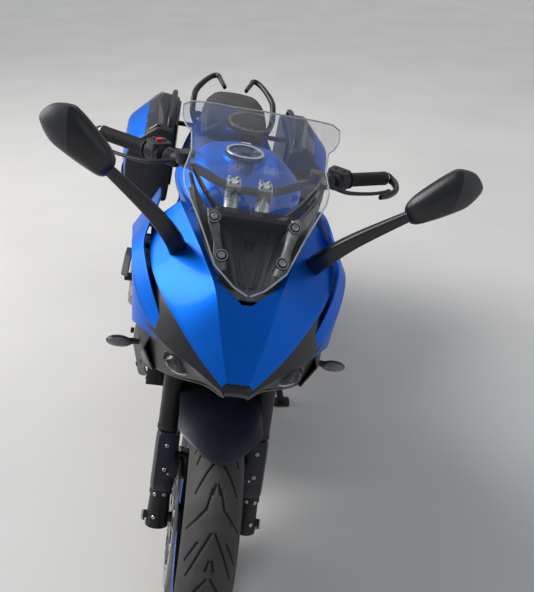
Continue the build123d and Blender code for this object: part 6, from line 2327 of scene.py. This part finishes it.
        def drawn(row: list[Point], amount: float, y: float) -> list[Point]:
            """A row drawn in by an amount and set at another place."""
            flat = shrunk([(x, z) for x, _, z in row], amount)
            return [(x, y, z) for x, z in flat]

        start = [drawn(first, 9, y0), drawn(first, 3, y0 + 2.2), drawn(first, 0.4, y0 + 7)]
        end = [drawn(last, 0.4, y1 - 7), drawn(last, 3, y1 - 2.2), drawn(last, 9, y1)]
        middle = [row for row in fine if y0 + 9 < row[0][1] < y1 - 9]
        mesh = grid(start + middle + end, wrap=True, cap=True)
        return outward(mesh)

    @staticmethod
    def filleted(points: Sequence[Pair], radius: float, steps: int = 4) -> list[Pair]:
        """Round the corners of a closed outline.

        Args:
            points: the outline.
            radius: reach of a rounding along each side.
            steps: steps round a corner.

        Returns:
            The outline, with a point beside each rounding that keeps the flats flat.
        """
        line = []
        count = len(points)
        for i in range(count):
            before, here, after = (Vector(points[(i + k) % count]) for k in (-1, 0, 1))
            back, on = before - here, after - here
            reach = min(radius, back.length * 0.42, on.length * 0.42)
            start = here + back.normalized() * reach
            end = here + on.normalized() * reach
            line.append(tuple(here + back.normalized() * (reach + 3)))
            for k in range(steps + 1):
                t = k / steps
                line.append(tuple(start * (1 - t) ** 2 + here * 2 * t * (1 - t) + end * t * t))
            line.append(tuple(here + on.normalized() * (reach + 3)))
        return line


FINISH_NODES: tuple[tuple[Finish, tuple[str, ...]], ...] = (
    (Paint.TYRE, ("front_tyre", "rear_tyre")),
    (Paint.RIM, ("front_rim", "rear_rim")),
    (Paint.STEEL, ("front_discs", "rear_disc", "sprocket", "rear_shock")),
    (Paint.CHAIN, ("drive_chain",)),
    (Paint.ALLOY_BLACK,
     ("fork", "front_calipers", "handlebar", "levers", "main_frame", "swingarm", "rear_caliper", "radiator",
      "tail_frame", "fairing_stay", "case_mounts", "side_stand", "footrests")),
    (Paint.FENDER, ("front_fender",)),
    (Paint.SATIN_PLASTIC, ("hand_controls", "grab_rails")),
    (Paint.ENGINE, ("engine",)),
    (Paint.EXHAUST, ("exhaust",)),
    (Paint.BLUE, ("fuel_tank", "tail_cowl", "nose_cowl", "side_cowl_left", "side_cowl_right", "case_lid_left",
                  "case_lid_right")),
    (Paint.ALLOY, ("fuel_cap",)),
    (Paint.SEAT, ("rider_seat", "pillion_seat")),
    (Paint.RED, ("tail_lamp",)),
    (Paint.BLACK_PLASTIC, ("plate_holder", "lamp_cowl", "mirror_left", "mirror_right", "lower_cowl_left",
                           "lower_cowl_right", "case_left", "case_right")),
    (Paint.GREY_PLASTIC, ("inner_cowl",)),
    (Paint.DISPLAY, ("display",)),
    (Paint.SCREEN, ("windscreen",)),
    (Paint.MIRROR, ("mirror_glasses",)),
    (Paint.AMBER, ("turn_signals",)),
    (Paint.CLEAR, ("headlamps",)),
)


def dress_nodes(nodes: dict[str, bpy.types.Object]) -> None:
    """Give every CAD node its finish.

    Args:
        nodes: the frame's CAD objects by name.
    """
    finishes = {name: finish for finish, names in FINISH_NODES for name in names}
    for name, node in nodes.items():
        finish = finishes[name].build()
        if not node.data.materials:
            node.data.materials.append(finish)
        for slot in node.material_slots:
            slot.material = finish


def main() -> None:
    """Load the frame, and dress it."""
    logging.basicConfig(level=logging.INFO, format="%(name)s: %(message)s")
    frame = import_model()
    matrix = Stand().matrix(frame["joints"])
    Studio().setup(matrix.to_translation())
    dress_nodes(frame["nodes"])
    shop = Shop(matrix)
    for maker in (Fairing, Mirrors, Fender, Wheels, Drive, Controls, Bodywork, Luggage):
        maker(shop).build()


if __name__ == "__main__":
    main()
